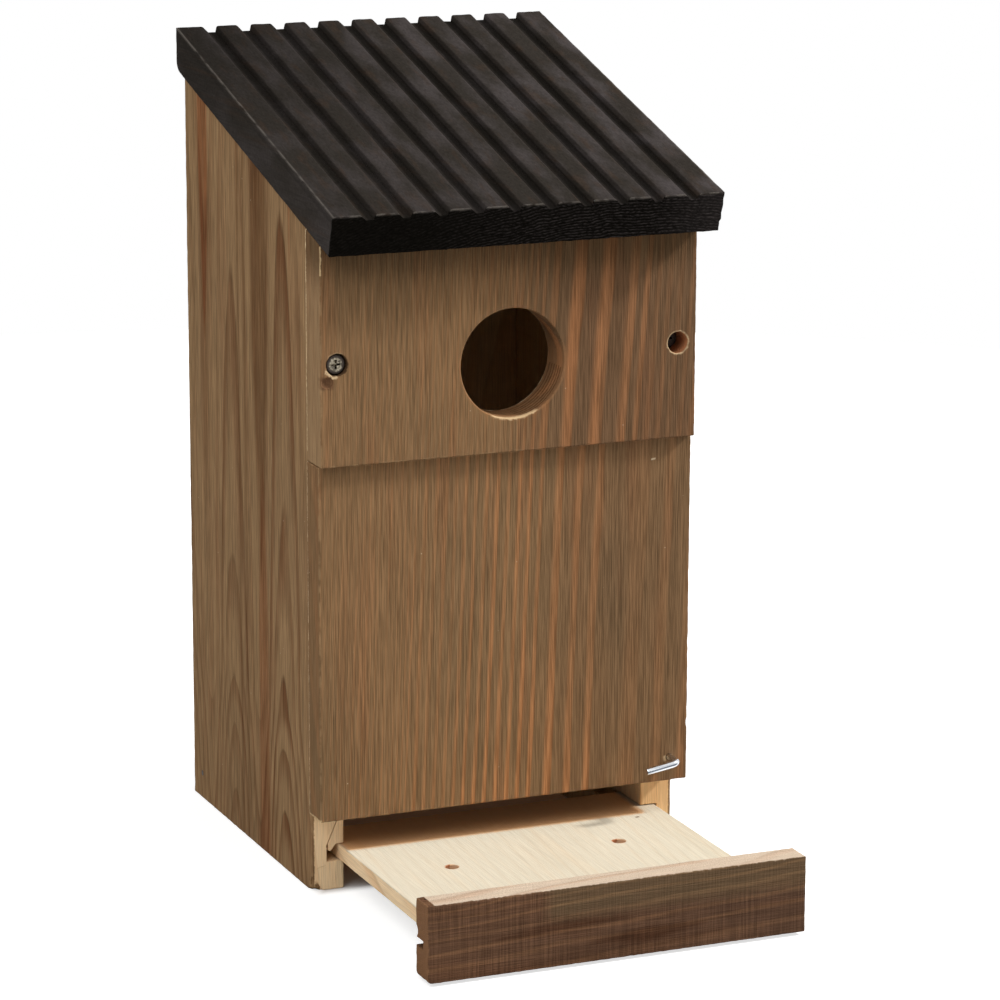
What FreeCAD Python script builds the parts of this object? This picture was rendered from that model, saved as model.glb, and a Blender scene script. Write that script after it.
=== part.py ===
import FreeCAD, Part
import math
import os
import Sketcher

# Bird nest box of pine boards with a slide-out floor. Lengths are in millimetres and angles in degrees.
# The box stands on the ground at height zero with its front towards -Y, and the origin is in the middle
# of the back panel's bottom edge.
ROOF_PITCH = 15.6
SLOPE = math.tan(math.radians(ROOF_PITCH))
SIDE_FRONT = -101.0
SIDE_FRONT_HEIGHT = 195.5


def height_under_roof(depth):
    """Height of the boards' sloped tops at a place from front to back."""
    return SIDE_FRONT_HEIGHT + SLOPE * (depth - SIDE_FRONT)


SIZES = {
    "zero": 0.0,
    # Sides
    "side_thickness": 10.0,
    "side_front": SIDE_FRONT,
    "side_back": 5.0,
    "left_side_start": -57.5,
    "right_side_start": 47.5,
    "right_outer_face": 57.5,
    "side_front_height": SIDE_FRONT_HEIGHT,
    "side_back_height": height_under_roof(5.0),
    # Grooves that the floor slides in
    "groove_low": 8.55,
    "groove_high": 13.85,
    "left_groove_bottom": 4.6,
    "left_groove_mouth": 11.0,
    "right_groove_bottom": 5.4,
    "right_groove_mouth": -1.0,
    "cut_start": 103.0,
    "cut_length": 112.0,
    # Back panel
    "back_left": -47.5,
    "back_width": 95.0,
    "back_inner": -5.0,
    "back_inner_height": height_under_roof(-5.0),
    "hanging_hole_across": 47.5,
    "hanging_hole_height": 206.0,
    "hanging_hole_radius": 3.0,
    "hanging_cut_start": 6.0,
    "hanging_cut_length": 12.0,
    # Front panels
    "panel_left": -58.1,
    "panel_width": 116.2,
    "upper_front": -112.7,
    "upper_low": 128.8,
    "upper_front_height": height_under_roof(-112.7),
    "lower_front": -110.4,
    "lower_low": 23.8,
    "lower_high": 128.6,
    "entrance_across": 58.5,
    "entrance_height": 154.7,
    "entrance_radius": 16.0,
    "panel_cut_start": 114.0,
    "panel_cut_length": 14.0,
    # Screws of the upper front panel
    "left_screw_across": 4.95,
    "right_screw_across": 110.5,
    "left_screw_height": 158.2,
    "right_screw_height": 156.9,
    "left_screw_place": -53.15,
    "right_screw_place": 52.4,
    "left_screw_top": -111.7,
    "right_screw_top": -105.7,
    "left_recess_plane": 111.7,
    "right_recess_plane": 105.7,
    "counterbore_radius": 3.2,
    "upper_face_plane": 112.7,
    "left_counterbore": 3.6,
    "right_counterbore": 9.6,
    "screw_clearance": 1.8,
    "screw_head_radius": 2.9,
    "screw_rim": 0.6,
    "screw_neck": 2.6,
    "screw_radius": 1.5,
    "screw_shoulder": 26.5,
    "screw_tip": 30.0,
    "recess_arm": 0.4,
    "recess_reach": 1.7,
    "recess_arm_back": -0.4,
    "recess_reach_back": -1.7,
    "recess_depth": 1.4,
    # Roof board, in its own frame: across, along the slope and through the thickness
    "roof_left": -58.0,
    "roof_front": -123.2,
    "roof_front_height": height_under_roof(-123.2) + 0.1,
    "roof_pitch": ROOF_PITCH,
    "roof_width": 119.6,
    "roof_length": 133.9 / math.cos(math.radians(ROOF_PITCH)),
    "roof_thickness": 12.04,
    "roof_front_lean": 12.04 * SLOPE,
    "roof_back_lean": 133.9 / math.cos(math.radians(ROOF_PITCH)) + 12.04 * SLOPE,
    "rib_floor_left": 10.2,
    "rib_floor_right": 12.5,
    "rib_floor": 10.24,
    "rib_over": 13.0,
    "rib_over_left": 7.29,
    "rib_over_right": 13.06,
    "rib_cut_start": 4.0,
    "rib_cut_length": 160.0,
    "rib_span": 99.0,
    # Brads
    "brad_radius": 0.6,
    "brad_head_radius": 0.95,
    "brad_head": 0.6,
    "brad_length": 25.0,
    "side_brad_depth": -3.0,
    "side_brad_low": 8.2,
    "side_brad_middle": 100.0,
    "side_brad_high": 190.0,
    "panel_brad_left": -48.2,
    "panel_brad_right": 48.2,
    "panel_brad_low": 50.0,
    "panel_brad_high": 123.0,
    "roof_brad_left": 5.5,
    "roof_brad_right": 113.5,
    "roof_brad_front": 40.0,
    "roof_brad_middle": 80.0,
    "roof_brad_back": 118.0,
    "drawer_brad_left": -40.0,
    "drawer_brad_right": 43.0,
    "drawer_brad_middle": 1.5,
    "drawer_brad_height": 11.15,
    # Floor board and drawer front, pulled open
    "floor_left": -49.0,
    "floor_width": 101.2,
    "floor_low": 8.9,
    "floor_high": 13.5,
    "floor_back": -85.3,
    "tongue_low": 10.0,
    "tongue_high": 12.3,
    "tongue_front": -185.6,
    "drain_left_across": 22.6,
    "drain_left_depth": -132.6,
    "drain_right_across": 76.7,
    "drain_right_depth": -129.2,
    "drain_radius": 1.9,
    "drain_cut_start": 15.0,
    "drain_cut_length": 8.0,
    "drawer_left": -56.6,
    "drawer_width": 114.8,
    "drawer_back": -180.5,
    "drawer_front": -189.1,
    "drawer_low": 1.0,
    "drawer_high": 23.3,
    "drawer_groove_low": 9.9,
    "drawer_groove_high": 12.4,
    "drawer_groove_bottom": -185.8,
    "drawer_corner_radius": 1.5,
    "pin_hole_across": 1.8,
    "pin_hole_depth": -182.8,
    "pin_hole_radius": 0.55,
    "pin_hole_cut": 4.0,
    # Latch hook, in its own frame: the arm and the shank meet at its origin
    "hook_across": 52.4,
    "hook_place": -116.9,
    "hook_height": 31.0,
    "hook_drop": -9.0,
    "hook_tip": -10.5,
    "hook_bend": 2.2,
    "hook_end": 24.9,
    "hook_radius": 1.0,
    "hook_point": 0.7,
    "hook_hole_radius": 1.05,
    "hook_hole_in_panel": 110.5,
    "hook_hole_in_side": 4.9,
    "hook_side_cut_start": 102.0,
    "hook_side_cut_length": 10.5,
}

document = FreeCAD.newDocument("nest_box")


def make_sheet():
    """Write every size to the sheet that drives the model."""
    sheet = document.addObject("Spreadsheet::Sheet", "Dimensions")
    for row, (name, value) in enumerate(SIZES.items(), 1):
        sheet.set(f"A{row}", name)
        sheet.set(f"B{row}", str(value))
        sheet.setAlias(f"B{row}", name)
    document.recompute()


def new_body(label, across="zero", depth="zero", height="zero"):
    """Start a sub-part and put its own origin at the named place."""
    body = document.addObject("PartDesign::Body", label)
    body.Label = label
    body.Placement.Base = FreeCAD.Vector(SIZES[across], SIZES[depth], SIZES[height])
    body.setExpression("Placement.Base.x", f"Dimensions.{across}")
    body.setExpression("Placement.Base.y", f"Dimensions.{depth}")
    body.setExpression("Placement.Base.z", f"Dimensions.{height}")
    return body


def turn_body(body, axis, angle):
    """Turn a sub-part about an axis through its own origin."""
    body.Placement.Rotation = FreeCAD.Rotation(axis, SIZES[angle])
    body.setExpression("Placement.Rotation.Angle", f"Dimensions.{angle} * 1 deg")
    body.setExpression("Placement.Rotation.Axis.x", str(axis.x))
    body.setExpression("Placement.Rotation.Axis.y", str(axis.y))
    body.setExpression("Placement.Rotation.Axis.z", str(axis.z))


def new_sketch(body, label, role, shift=("zero", "zero", "zero")):
    """Start a sketch on one of the sub-part's own planes, shifted by three named sizes."""
    plane = next(feature for feature in body.Origin.OriginFeatures if feature.Role == role)
    sketch = body.newObject("Sketcher::SketchObject", label)
    sketch.AttachmentSupport = [(plane, "")]
    sketch.MapMode = "FlatFace"
    for letter, size in zip("xyz", shift):
        sketch.setExpression(f"AttachmentOffset.Base.{letter}", f"Dimensions.{size}")
    return sketch


def bind(sketch, constraint, size):
    """Add a constraint whose value follows a named size."""
    index = sketch.addConstraint(constraint)
    sketch.setExpression(f"Constraints[{index}]", f"Dimensions.{size}")


def pin_point(sketch, geometry, end, across, up):
    """Hold a point of the sketch at two named sizes from the sketch's origin."""
    bind(sketch, Sketcher.Constraint("DistanceX", -1, 1, geometry, end, SIZES[across]), across)
    bind(sketch, Sketcher.Constraint("DistanceY", -1, 1, geometry, end, SIZES[up]), up)


def draw_outline(sketch, corners):
    """Draw a closed outline through corners that are pairs of named sizes."""
    first = sketch.GeometryCount
    points = [FreeCAD.Vector(SIZES[across], SIZES[up], 0) for across, up in corners]
    for start, end in zip(points, points[1:] + points[:1]):
        sketch.addGeometry(Part.LineSegment(start, end), False)
    for index, (across, up) in enumerate(corners):
        following = first + (index + 1) % len(corners)
        sketch.addConstraint(Sketcher.Constraint("Coincident", first + index, 2, following, 1))
        pin_point(sketch, first + index, 1, across, up)


def draw_rectangle(sketch, left, right, low, high):
    """Draw a rectangle between four named sizes."""
    draw_outline(sketch, [(left, low), (right, low), (right, high), (left, high)])


def draw_circles(sketch, centres, radius):
    """Draw circles of one named radius around centres that are pairs of named sizes."""
    for across, up in centres:
        centre = FreeCAD.Vector(SIZES[across], SIZES[up], 0)
        circle = Part.Circle(centre, FreeCAD.Vector(0, 0, 1), SIZES[radius])
        index = sketch.addGeometry(circle, False)
        pin_point(sketch, index, 3, across, up)
        bind(sketch, Sketcher.Constraint("Radius", index, SIZES[radius]), radius)


def add_pad(body, sketch, length, backwards=False):
    """Raise a sketch into a solid."""
    pad = body.newObject("PartDesign::Pad", f"{sketch.Name}_pad")
    pad.Profile = sketch
    pad.setExpression("Length", f"Dimensions.{length}")
    pad.Reversed = backwards
    return pad


def add_pocket(body, sketch, length):
    """Cut a sketch into the sub-part."""
    pocket = body.newObject("PartDesign::Pocket", f"{sketch.Name}_pocket")
    pocket.Profile = sketch
    pocket.setExpression("Length", f"Dimensions.{length}")
    return pocket


def make_board(label, start, width, corners):
    """Pad a board sideways from its outline as seen from the side."""
    body = new_body(label, across=start)
    outline = new_sketch(body, f"{label}_outline", "YZ_Plane")
    draw_outline(outline, corners)
    add_pad(body, outline, width)
    return body


def drill(body, label, centres, radius, start, length):
    """Drill round holes from the front towards the back."""
    sketch = new_sketch(body, label, "XZ_Plane", shift=("zero", "zero", start))
    draw_circles(sketch, centres, radius)
    add_pocket(body, sketch, length)


def make_side(label, start, groove_bottom, groove_mouth):
    """A side panel with a sloped top and the groove for the floor."""
    corners = [
        ("side_front", "zero"),
        ("side_back", "zero"),
        ("side_back", "side_back_height"),
        ("side_front", "side_front_height"),
    ]
    body = make_board(label, start, "side_thickness", corners)
    groove = new_sketch(body, f"{label}_groove", "XZ_Plane", shift=("zero", "zero", "cut_start"))
    draw_rectangle(groove, groove_bottom, groove_mouth, "groove_low", "groove_high")
    add_pocket(body, groove, "cut_length")
    return body


def make_left_side():
    """The left side panel."""
    return make_side("left_side_panel", "left_side_start", "left_groove_bottom", "left_groove_mouth")


def make_right_side():
    """The right side panel, with the hole that the latch hook turns in."""
    body = make_side("right_side_panel", "right_side_start", "right_groove_bottom", "right_groove_mouth")
    centre = [("hook_hole_in_side", "hook_height")]
    drill(body, "hook_hole", centre, "hook_hole_radius", "hook_side_cut_start", "hook_side_cut_length")
    return body


def make_back():
    """The back panel between the sides, with the hole it hangs by."""
    corners = [
        ("back_inner", "zero"),
        ("side_back", "zero"),
        ("side_back", "side_back_height"),
        ("back_inner", "back_inner_height"),
    ]
    body = make_board("back_panel", "back_left", "back_width", corners)
    centre = [("hanging_hole_across", "hanging_hole_height")]
    drill(body, "hanging_hole", centre, "hanging_hole_radius", "hanging_cut_start", "hanging_cut_length")
    return body


def make_upper_front():
    """The thick upper panel with the entrance hole and its counterbored screw holes."""
    corners = [
        ("upper_front", "upper_low"),
        ("side_front", "upper_low"),
        ("side_front", "side_front_height"),
        ("upper_front", "upper_front_height"),
    ]
    body = make_board("upper_front_panel", "panel_left", "panel_width", corners)
    left = ("left_screw_across", "left_screw_height")
    right = ("right_screw_across", "right_screw_height")
    entrance = [("entrance_across", "entrance_height")]
    drill(body, "entrance_hole", entrance, "entrance_radius", "panel_cut_start", "panel_cut_length")
    drill(body, "screw_holes", [left, right], "screw_clearance", "panel_cut_start", "panel_cut_length")
    drill(body, "left_seat", [left], "counterbore_radius", "upper_face_plane", "left_counterbore")
    drill(body, "right_seat", [right], "counterbore_radius", "upper_face_plane", "right_counterbore")
    return body


def make_lower_front():
    """The thinner lower panel, with a hole for the hook."""
    corners = [
        ("lower_front", "lower_low"),
        ("side_front", "lower_low"),
        ("side_front", "lower_high"),
        ("lower_front", "lower_high"),
    ]
    body = make_board("lower_front_panel", "panel_left", "panel_width", corners)
    centre = [("hook_hole_in_panel", "hook_height")]
    drill(body, "hook_way", centre, "hook_hole_radius", "panel_cut_start", "panel_cut_length")
    return body


def place_on_slope(body):
    """Tip a sub-part to the slope of the roof."""
    turn_body(body, FreeCAD.Vector(1, 0, 0), "roof_pitch")


def make_roof():
    """The ribbed roof board, with its front end cut square and its back end upright."""
    body = new_body("roof_board", "roof_left", "roof_front", "roof_front_height")
    place_on_slope(body)
    outline = new_sketch(body, "roof_outline", "YZ_Plane")
    corners = [
        ("roof_front_lean", "zero"),
        ("roof_length", "zero"),
        ("roof_back_lean", "roof_thickness"),
        ("roof_front_lean", "roof_thickness"),
    ]
    draw_outline(outline, corners)
    add_pad(body, outline, "roof_width")
    rib = new_sketch(body, "rib_groove", "XZ_Plane", shift=("zero", "zero", "rib_cut_start"))
    corners = [
        ("rib_floor_left", "rib_floor"),
        ("rib_floor_right", "rib_floor"),
        ("rib_over_right", "rib_over"),
        ("rib_over_left", "rib_over"),
    ]
    draw_outline(rib, corners)
    groove = add_pocket(body, rib, "rib_cut_length")
    across = next(feature for feature in body.Origin.OriginFeatures if feature.Role == "X_Axis")
    ribs = body.newObject("PartDesign::LinearPattern", "rib_grooves")
    ribs.Originals = [groove]
    ribs.Direction = (across, [""])
    ribs.setExpression("Length", "Dimensions.rib_span")
    ribs.Occurrences = 10
    body.Tip = ribs
    return body


def add_screw(body, side):
    """Turn one wood screw and cut the cross recess in its head."""
    place, top, height = f"{side}_screw_place", f"{side}_screw_top", f"{side}_screw_height"
    profile = new_sketch(body, f"{side}_screw", "XY_Plane", shift=(place, top, height))
    corners = [
        ("zero", "zero"),
        ("screw_head_radius", "zero"),
        ("screw_head_radius", "screw_rim"),
        ("screw_radius", "screw_neck"),
        ("screw_radius", "screw_shoulder"),
        ("zero", "screw_tip"),
    ]
    draw_outline(profile, corners)
    turned = body.newObject("PartDesign::Revolution", f"{side}_screw_turned")
    turned.Profile = profile
    turned.ReferenceAxis = (profile, ["V_Axis"])
    turned.Angle = 360
    recess = new_sketch(body, f"{side}_recess", "XZ_Plane", shift=(place, height, f"{side}_recess_plane"))
    corners = [
        ("recess_arm", "recess_reach"),
        ("recess_arm_back", "recess_reach"),
        ("recess_arm_back", "recess_arm"),
        ("recess_reach_back", "recess_arm"),
        ("recess_reach_back", "recess_arm_back"),
        ("recess_arm_back", "recess_arm_back"),
        ("recess_arm_back", "recess_reach_back"),
        ("recess_arm", "recess_reach_back"),
        ("recess_arm", "recess_arm_back"),
        ("recess_reach", "recess_arm_back"),
        ("recess_reach", "recess_arm"),
        ("recess_arm", "recess_arm"),
    ]
    draw_outline(recess, corners)
    add_pocket(body, recess, "recess_depth")


def make_screws():
    """The two screws of the upper front panel."""
    body = new_body("upper_panel_screws")
    add_screw(body, "left")
    add_screw(body, "right")
    return body


def add_brads(body, role, centres, backwards, shift=("zero", "zero", "zero")):
    """Drive brads into the boards from one face, each with a small flat head."""
    for name, radius, length in (
        ("shanks", "brad_radius", "brad_length"),
        ("heads", "brad_head_radius", "brad_head"),
    ):
        sketch = new_sketch(body, f"{body.Label}_{name}", role, shift=shift)
        draw_circles(sketch, centres, radius)
        add_pad(body, sketch, length, backwards)


def make_left_side_brads():
    """Brads through the left side into the back panel."""
    body = new_body("left_side_brads", across="left_side_start")
    heights = ("side_brad_low", "side_brad_middle", "side_brad_high")
    add_brads(body, "YZ_Plane", [("side_brad_depth", height) for height in heights], False)
    return body


def make_right_side_brads():
    """Brads through the right side into the back panel."""
    body = new_body("right_side_brads", across="right_outer_face")
    heights = ("side_brad_low", "side_brad_middle", "side_brad_high")
    add_brads(body, "YZ_Plane", [("side_brad_depth", height) for height in heights], True)
    return body


def make_lower_panel_brads():
    """Brads through the lower front panel into the sides."""
    body = new_body("lower_panel_brads", depth="lower_front")
    centres = [
        (across, height)
        for across in ("panel_brad_left", "panel_brad_right")
        for height in ("panel_brad_low", "panel_brad_high")
    ]
    add_brads(body, "XZ_Plane", centres, True)
    return body


def make_roof_brads():
    """Brads through the roof board into the tops of the sides."""
    body = new_body("roof_brads", "roof_left", "roof_front", "roof_front_height")
    place_on_slope(body)
    centres = [
        (across, along)
        for across in ("roof_brad_left", "roof_brad_right")
        for along in ("roof_brad_front", "roof_brad_middle", "roof_brad_back")
    ]
    add_brads(body, "XY_Plane", centres, True, shift=("zero", "zero", "roof_thickness"))
    return body


def make_floor():
    """The sliding floor board, with drain holes and a tongue for the drawer front."""
    corners = [
        ("drawer_back", "floor_low"),
        ("floor_back", "floor_low"),
        ("floor_back", "floor_high"),
        ("drawer_back", "floor_high"),
        ("drawer_back", "tongue_high"),
        ("tongue_front", "tongue_high"),
        ("tongue_front", "tongue_low"),
        ("drawer_back", "tongue_low"),
    ]
    body = make_board("floor_board", "floor_left", "floor_width", corners)
    drains = new_sketch(body, "drains", "XY_Plane", shift=("zero", "zero", "drain_cut_start"))
    centres = [
        ("drain_left_across", "drain_left_depth"),
        ("drain_right_across", "drain_right_depth"),
    ]
    draw_circles(drains, centres, "drain_radius")
    add_pocket(body, drains, "drain_cut_length")
    return body


def lower_corner_edges(shape):
    """Names of the edges that run front to back along the two lower corners."""
    low = SIZES["drawer_low"]
    names = []
    for index, edge in enumerate(shape.Edges, 1):
        ends = [vertex.Point for vertex in edge.Vertexes]
        at_foot = all(abs(point.z - low) < 1e-4 for point in ends)
        front_to_back = abs(ends[0].x - ends[-1].x) < 1e-4
        if at_foot and front_to_back:
            names.append(f"Edge{index}")
    return names


def make_drawer_front():
    """The strip on the end of the floor, grooved behind for the floor's tongue."""
    corners = [
        ("drawer_front", "drawer_low"),
        ("drawer_back", "drawer_low"),
        ("drawer_back", "drawer_groove_low"),
        ("drawer_groove_bottom", "drawer_groove_low"),
        ("drawer_groove_bottom", "drawer_groove_high"),
        ("drawer_back", "drawer_groove_high"),
        ("drawer_back", "drawer_high"),
        ("drawer_front", "drawer_high"),
    ]
    body = make_board("drawer_front", "drawer_left", "drawer_width", corners)
    pin = new_sketch(body, "pin_hole", "XY_Plane", shift=("zero", "zero", "drawer_high"))
    draw_circles(pin, [("pin_hole_across", "pin_hole_depth")], "pin_hole_radius")
    pocket = add_pocket(body, pin, "pin_hole_cut")
    document.recompute()
    corners = body.newObject("PartDesign::Fillet", "lower_corners")
    corners.Base = (pocket, lower_corner_edges(pocket.Shape))
    corners.setExpression("Radius", "Dimensions.drawer_corner_radius")
    return body


def make_drawer_brads():
    """Brads through the drawer front into the end of the floor."""
    body = new_body("drawer_brads", depth="drawer_front")
    centres = [
        (across, "drawer_brad_height")
        for across in ("drawer_brad_left", "drawer_brad_middle", "drawer_brad_right")
    ]
    add_brads(body, "XZ_Plane", centres, True)
    return body


def draw_hook_path(sketch):
    """Draw the bent centre line of the hook, from the arm's tip to the shank's end."""
    tip, bend, end = SIZES["hook_tip"], SIZES["hook_bend"], SIZES["hook_end"]
    sketch.addGeometry(Part.LineSegment(FreeCAD.Vector(tip, 0, 0), FreeCAD.Vector(-bend, 0, 0)), False)
    circle = Part.Circle(FreeCAD.Vector(-bend, bend, 0), FreeCAD.Vector(0, 0, 1), bend)
    sketch.addGeometry(Part.ArcOfCircle(circle, -math.pi / 2, 0), False)
    sketch.addGeometry(Part.LineSegment(FreeCAD.Vector(0, bend, 0), FreeCAD.Vector(0, end, 0)), False)
    sketch.addConstraint(Sketcher.Constraint("Tangent", 0, 2, 1, 1))
    sketch.addConstraint(Sketcher.Constraint("Tangent", 1, 2, 2, 1))
    sketch.addConstraint(Sketcher.Constraint("Horizontal", 0))
    sketch.addConstraint(Sketcher.Constraint("Vertical", 2))
    bind(sketch, Sketcher.Constraint("Radius", 1, bend), "hook_bend")
    pin_point(sketch, 0, 1, "hook_tip", "zero")
    pin_point(sketch, 2, 2, "zero", "hook_end")


def shank_end_edge(shape):
    """Name of the round edge at the end of the hook's shank."""
    reach = max(vertex.Point.y for vertex in shape.Vertexes)
    for index, edge in enumerate(shape.Edges, 1):
        if all(abs(vertex.Point.y - reach) < 1e-4 for vertex in edge.Vertexes):
            return f"Edge{index}"
    raise ValueError("the hook's shank has no end edge")


def make_hook():
    """The bent wire hook, swept along its centre line and pointed at the shank's end."""
    body = new_body("latch_hook", "hook_across", "hook_place", "hook_height")
    turn_body(body, FreeCAD.Vector(0, 1, 0), "hook_drop")
    path = new_sketch(body, "hook_path", "XY_Plane")
    draw_hook_path(path)
    wire = new_sketch(body, "hook_wire", "YZ_Plane", shift=("zero", "zero", "hook_tip"))
    draw_circles(wire, [("zero", "zero")], "hook_radius")
    document.recompute()
    sweep = body.newObject("PartDesign::AdditivePipe", "hook_sweep")
    sweep.Profile = wire
    sweep.Spine = (path, [])
    document.recompute()
    point = body.newObject("PartDesign::Chamfer", "hook_end_point")
    point.Base = (sweep, [shank_end_edge(sweep.Shape)])
    point.setExpression("Size", "Dimensions.hook_point")
    return body


def check_model(bodies):
    """Stop if any feature failed or any sub-part is empty or broken."""
    for item in document.Objects:
        if "Invalid" in item.State or "Error" in item.State:
            raise RuntimeError(f"{item.Label} did not build")
    for body in bodies:
        if body.Shape.isNull() or not body.Shape.isValid():
            raise RuntimeError(f"{body.Label} has no sound shape")


def main():
    """Build every sub-part and write each to its own file."""
    os.makedirs("parts", exist_ok=True)
    make_sheet()
    makers = (
        make_left_side,
        make_right_side,
        make_back,
        make_upper_front,
        make_lower_front,
        make_roof,
        make_screws,
        make_left_side_brads,
        make_right_side_brads,
        make_lower_panel_brads,
        make_roof_brads,
        make_floor,
        make_drawer_front,
        make_drawer_brads,
        make_hook,
    )
    bodies = [make() for make in makers]
    document.recompute()
    check_model(bodies)
    for body in bodies:
        body.Shape.exportStep(f"parts/{body.Label}.step")
        print(body.Label, len(body.Shape.Solids), round(body.Shape.Volume, 1))


main()
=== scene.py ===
"""A bird nest box with a slide-out floor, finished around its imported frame.

Sizes in the classes are millimetres.  Meshes are in metres, Z up, with the front towards -Y.
"""

from __future__ import annotations

import logging
import math
from collections.abc import Callable, Sequence
from dataclasses import dataclass, field
from enum import Enum
from typing import Any

import bmesh
import bpy
from mathutils import Matrix, Vector

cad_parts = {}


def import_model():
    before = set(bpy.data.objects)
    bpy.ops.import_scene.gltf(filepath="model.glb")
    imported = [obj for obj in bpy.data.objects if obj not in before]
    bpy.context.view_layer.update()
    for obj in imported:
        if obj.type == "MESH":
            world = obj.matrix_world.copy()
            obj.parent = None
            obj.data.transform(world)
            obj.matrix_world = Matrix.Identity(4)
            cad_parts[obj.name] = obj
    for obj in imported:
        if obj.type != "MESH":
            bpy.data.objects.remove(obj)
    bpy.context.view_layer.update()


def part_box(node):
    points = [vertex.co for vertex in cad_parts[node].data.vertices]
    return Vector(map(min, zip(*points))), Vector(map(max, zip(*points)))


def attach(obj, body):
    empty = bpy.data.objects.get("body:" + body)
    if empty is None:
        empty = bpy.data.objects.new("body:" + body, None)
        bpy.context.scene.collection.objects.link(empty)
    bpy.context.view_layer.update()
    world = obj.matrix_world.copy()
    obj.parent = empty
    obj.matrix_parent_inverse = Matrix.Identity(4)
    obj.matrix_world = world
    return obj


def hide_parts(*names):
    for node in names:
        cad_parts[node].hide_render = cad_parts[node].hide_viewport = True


MM = 0.001
Triple = tuple[float, float, float]
Colour = tuple[float, float, float, float]
SMOOTH_BELOW = math.radians(18.0)
SHARP_ABOVE = math.radians(40.0)
FACING = 0.9
FLATS = "flats"
TORN_END = "torn_end"
log = logging.getLogger("nest_box")


def linear_level(level: float) -> float:
    """Turns one eight-bit screen level into a linear level from 0 to 1."""
    share = level / 255.0
    return share / 12.92 if share <= 0.04045 else ((share + 0.055) / 1.055) ** 2.4


def tint(red: float, green: float, blue: float) -> Colour:
    """Turns an eight-bit screen colour into a linear colour with full alpha."""
    return (linear_level(red), linear_level(green), linear_level(blue), 1.0)


def node_box(node: str) -> tuple[Vector, Vector]:
    """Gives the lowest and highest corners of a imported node, in millimetres."""
    low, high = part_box(node)
    return low / MM, high / MM


class Axis(Enum):
    """The three directions of the shared frame."""

    X = 0
    Y = 1
    Z = 2

    @property
    def unit(self) -> Vector:
        """The unit vector along this axis."""
        return Vector([1.0 if index == self.value else 0.0 for index in range(3)])


class Hand(Enum):
    """Which side of the box a piece is on, as seen from the front."""

    LEFT = -1.0
    RIGHT = 1.0


class Body(Enum):
    """The bodies of the frame that pieces ride on."""

    BOX = "box"
    DRAWER = "drawer"
    HOOK = "hook"


class Pick(Enum):
    """What a selection on the bench is made of."""

    VERT = "verts"
    EDGE = "edges"
    FACE = "faces"


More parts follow.
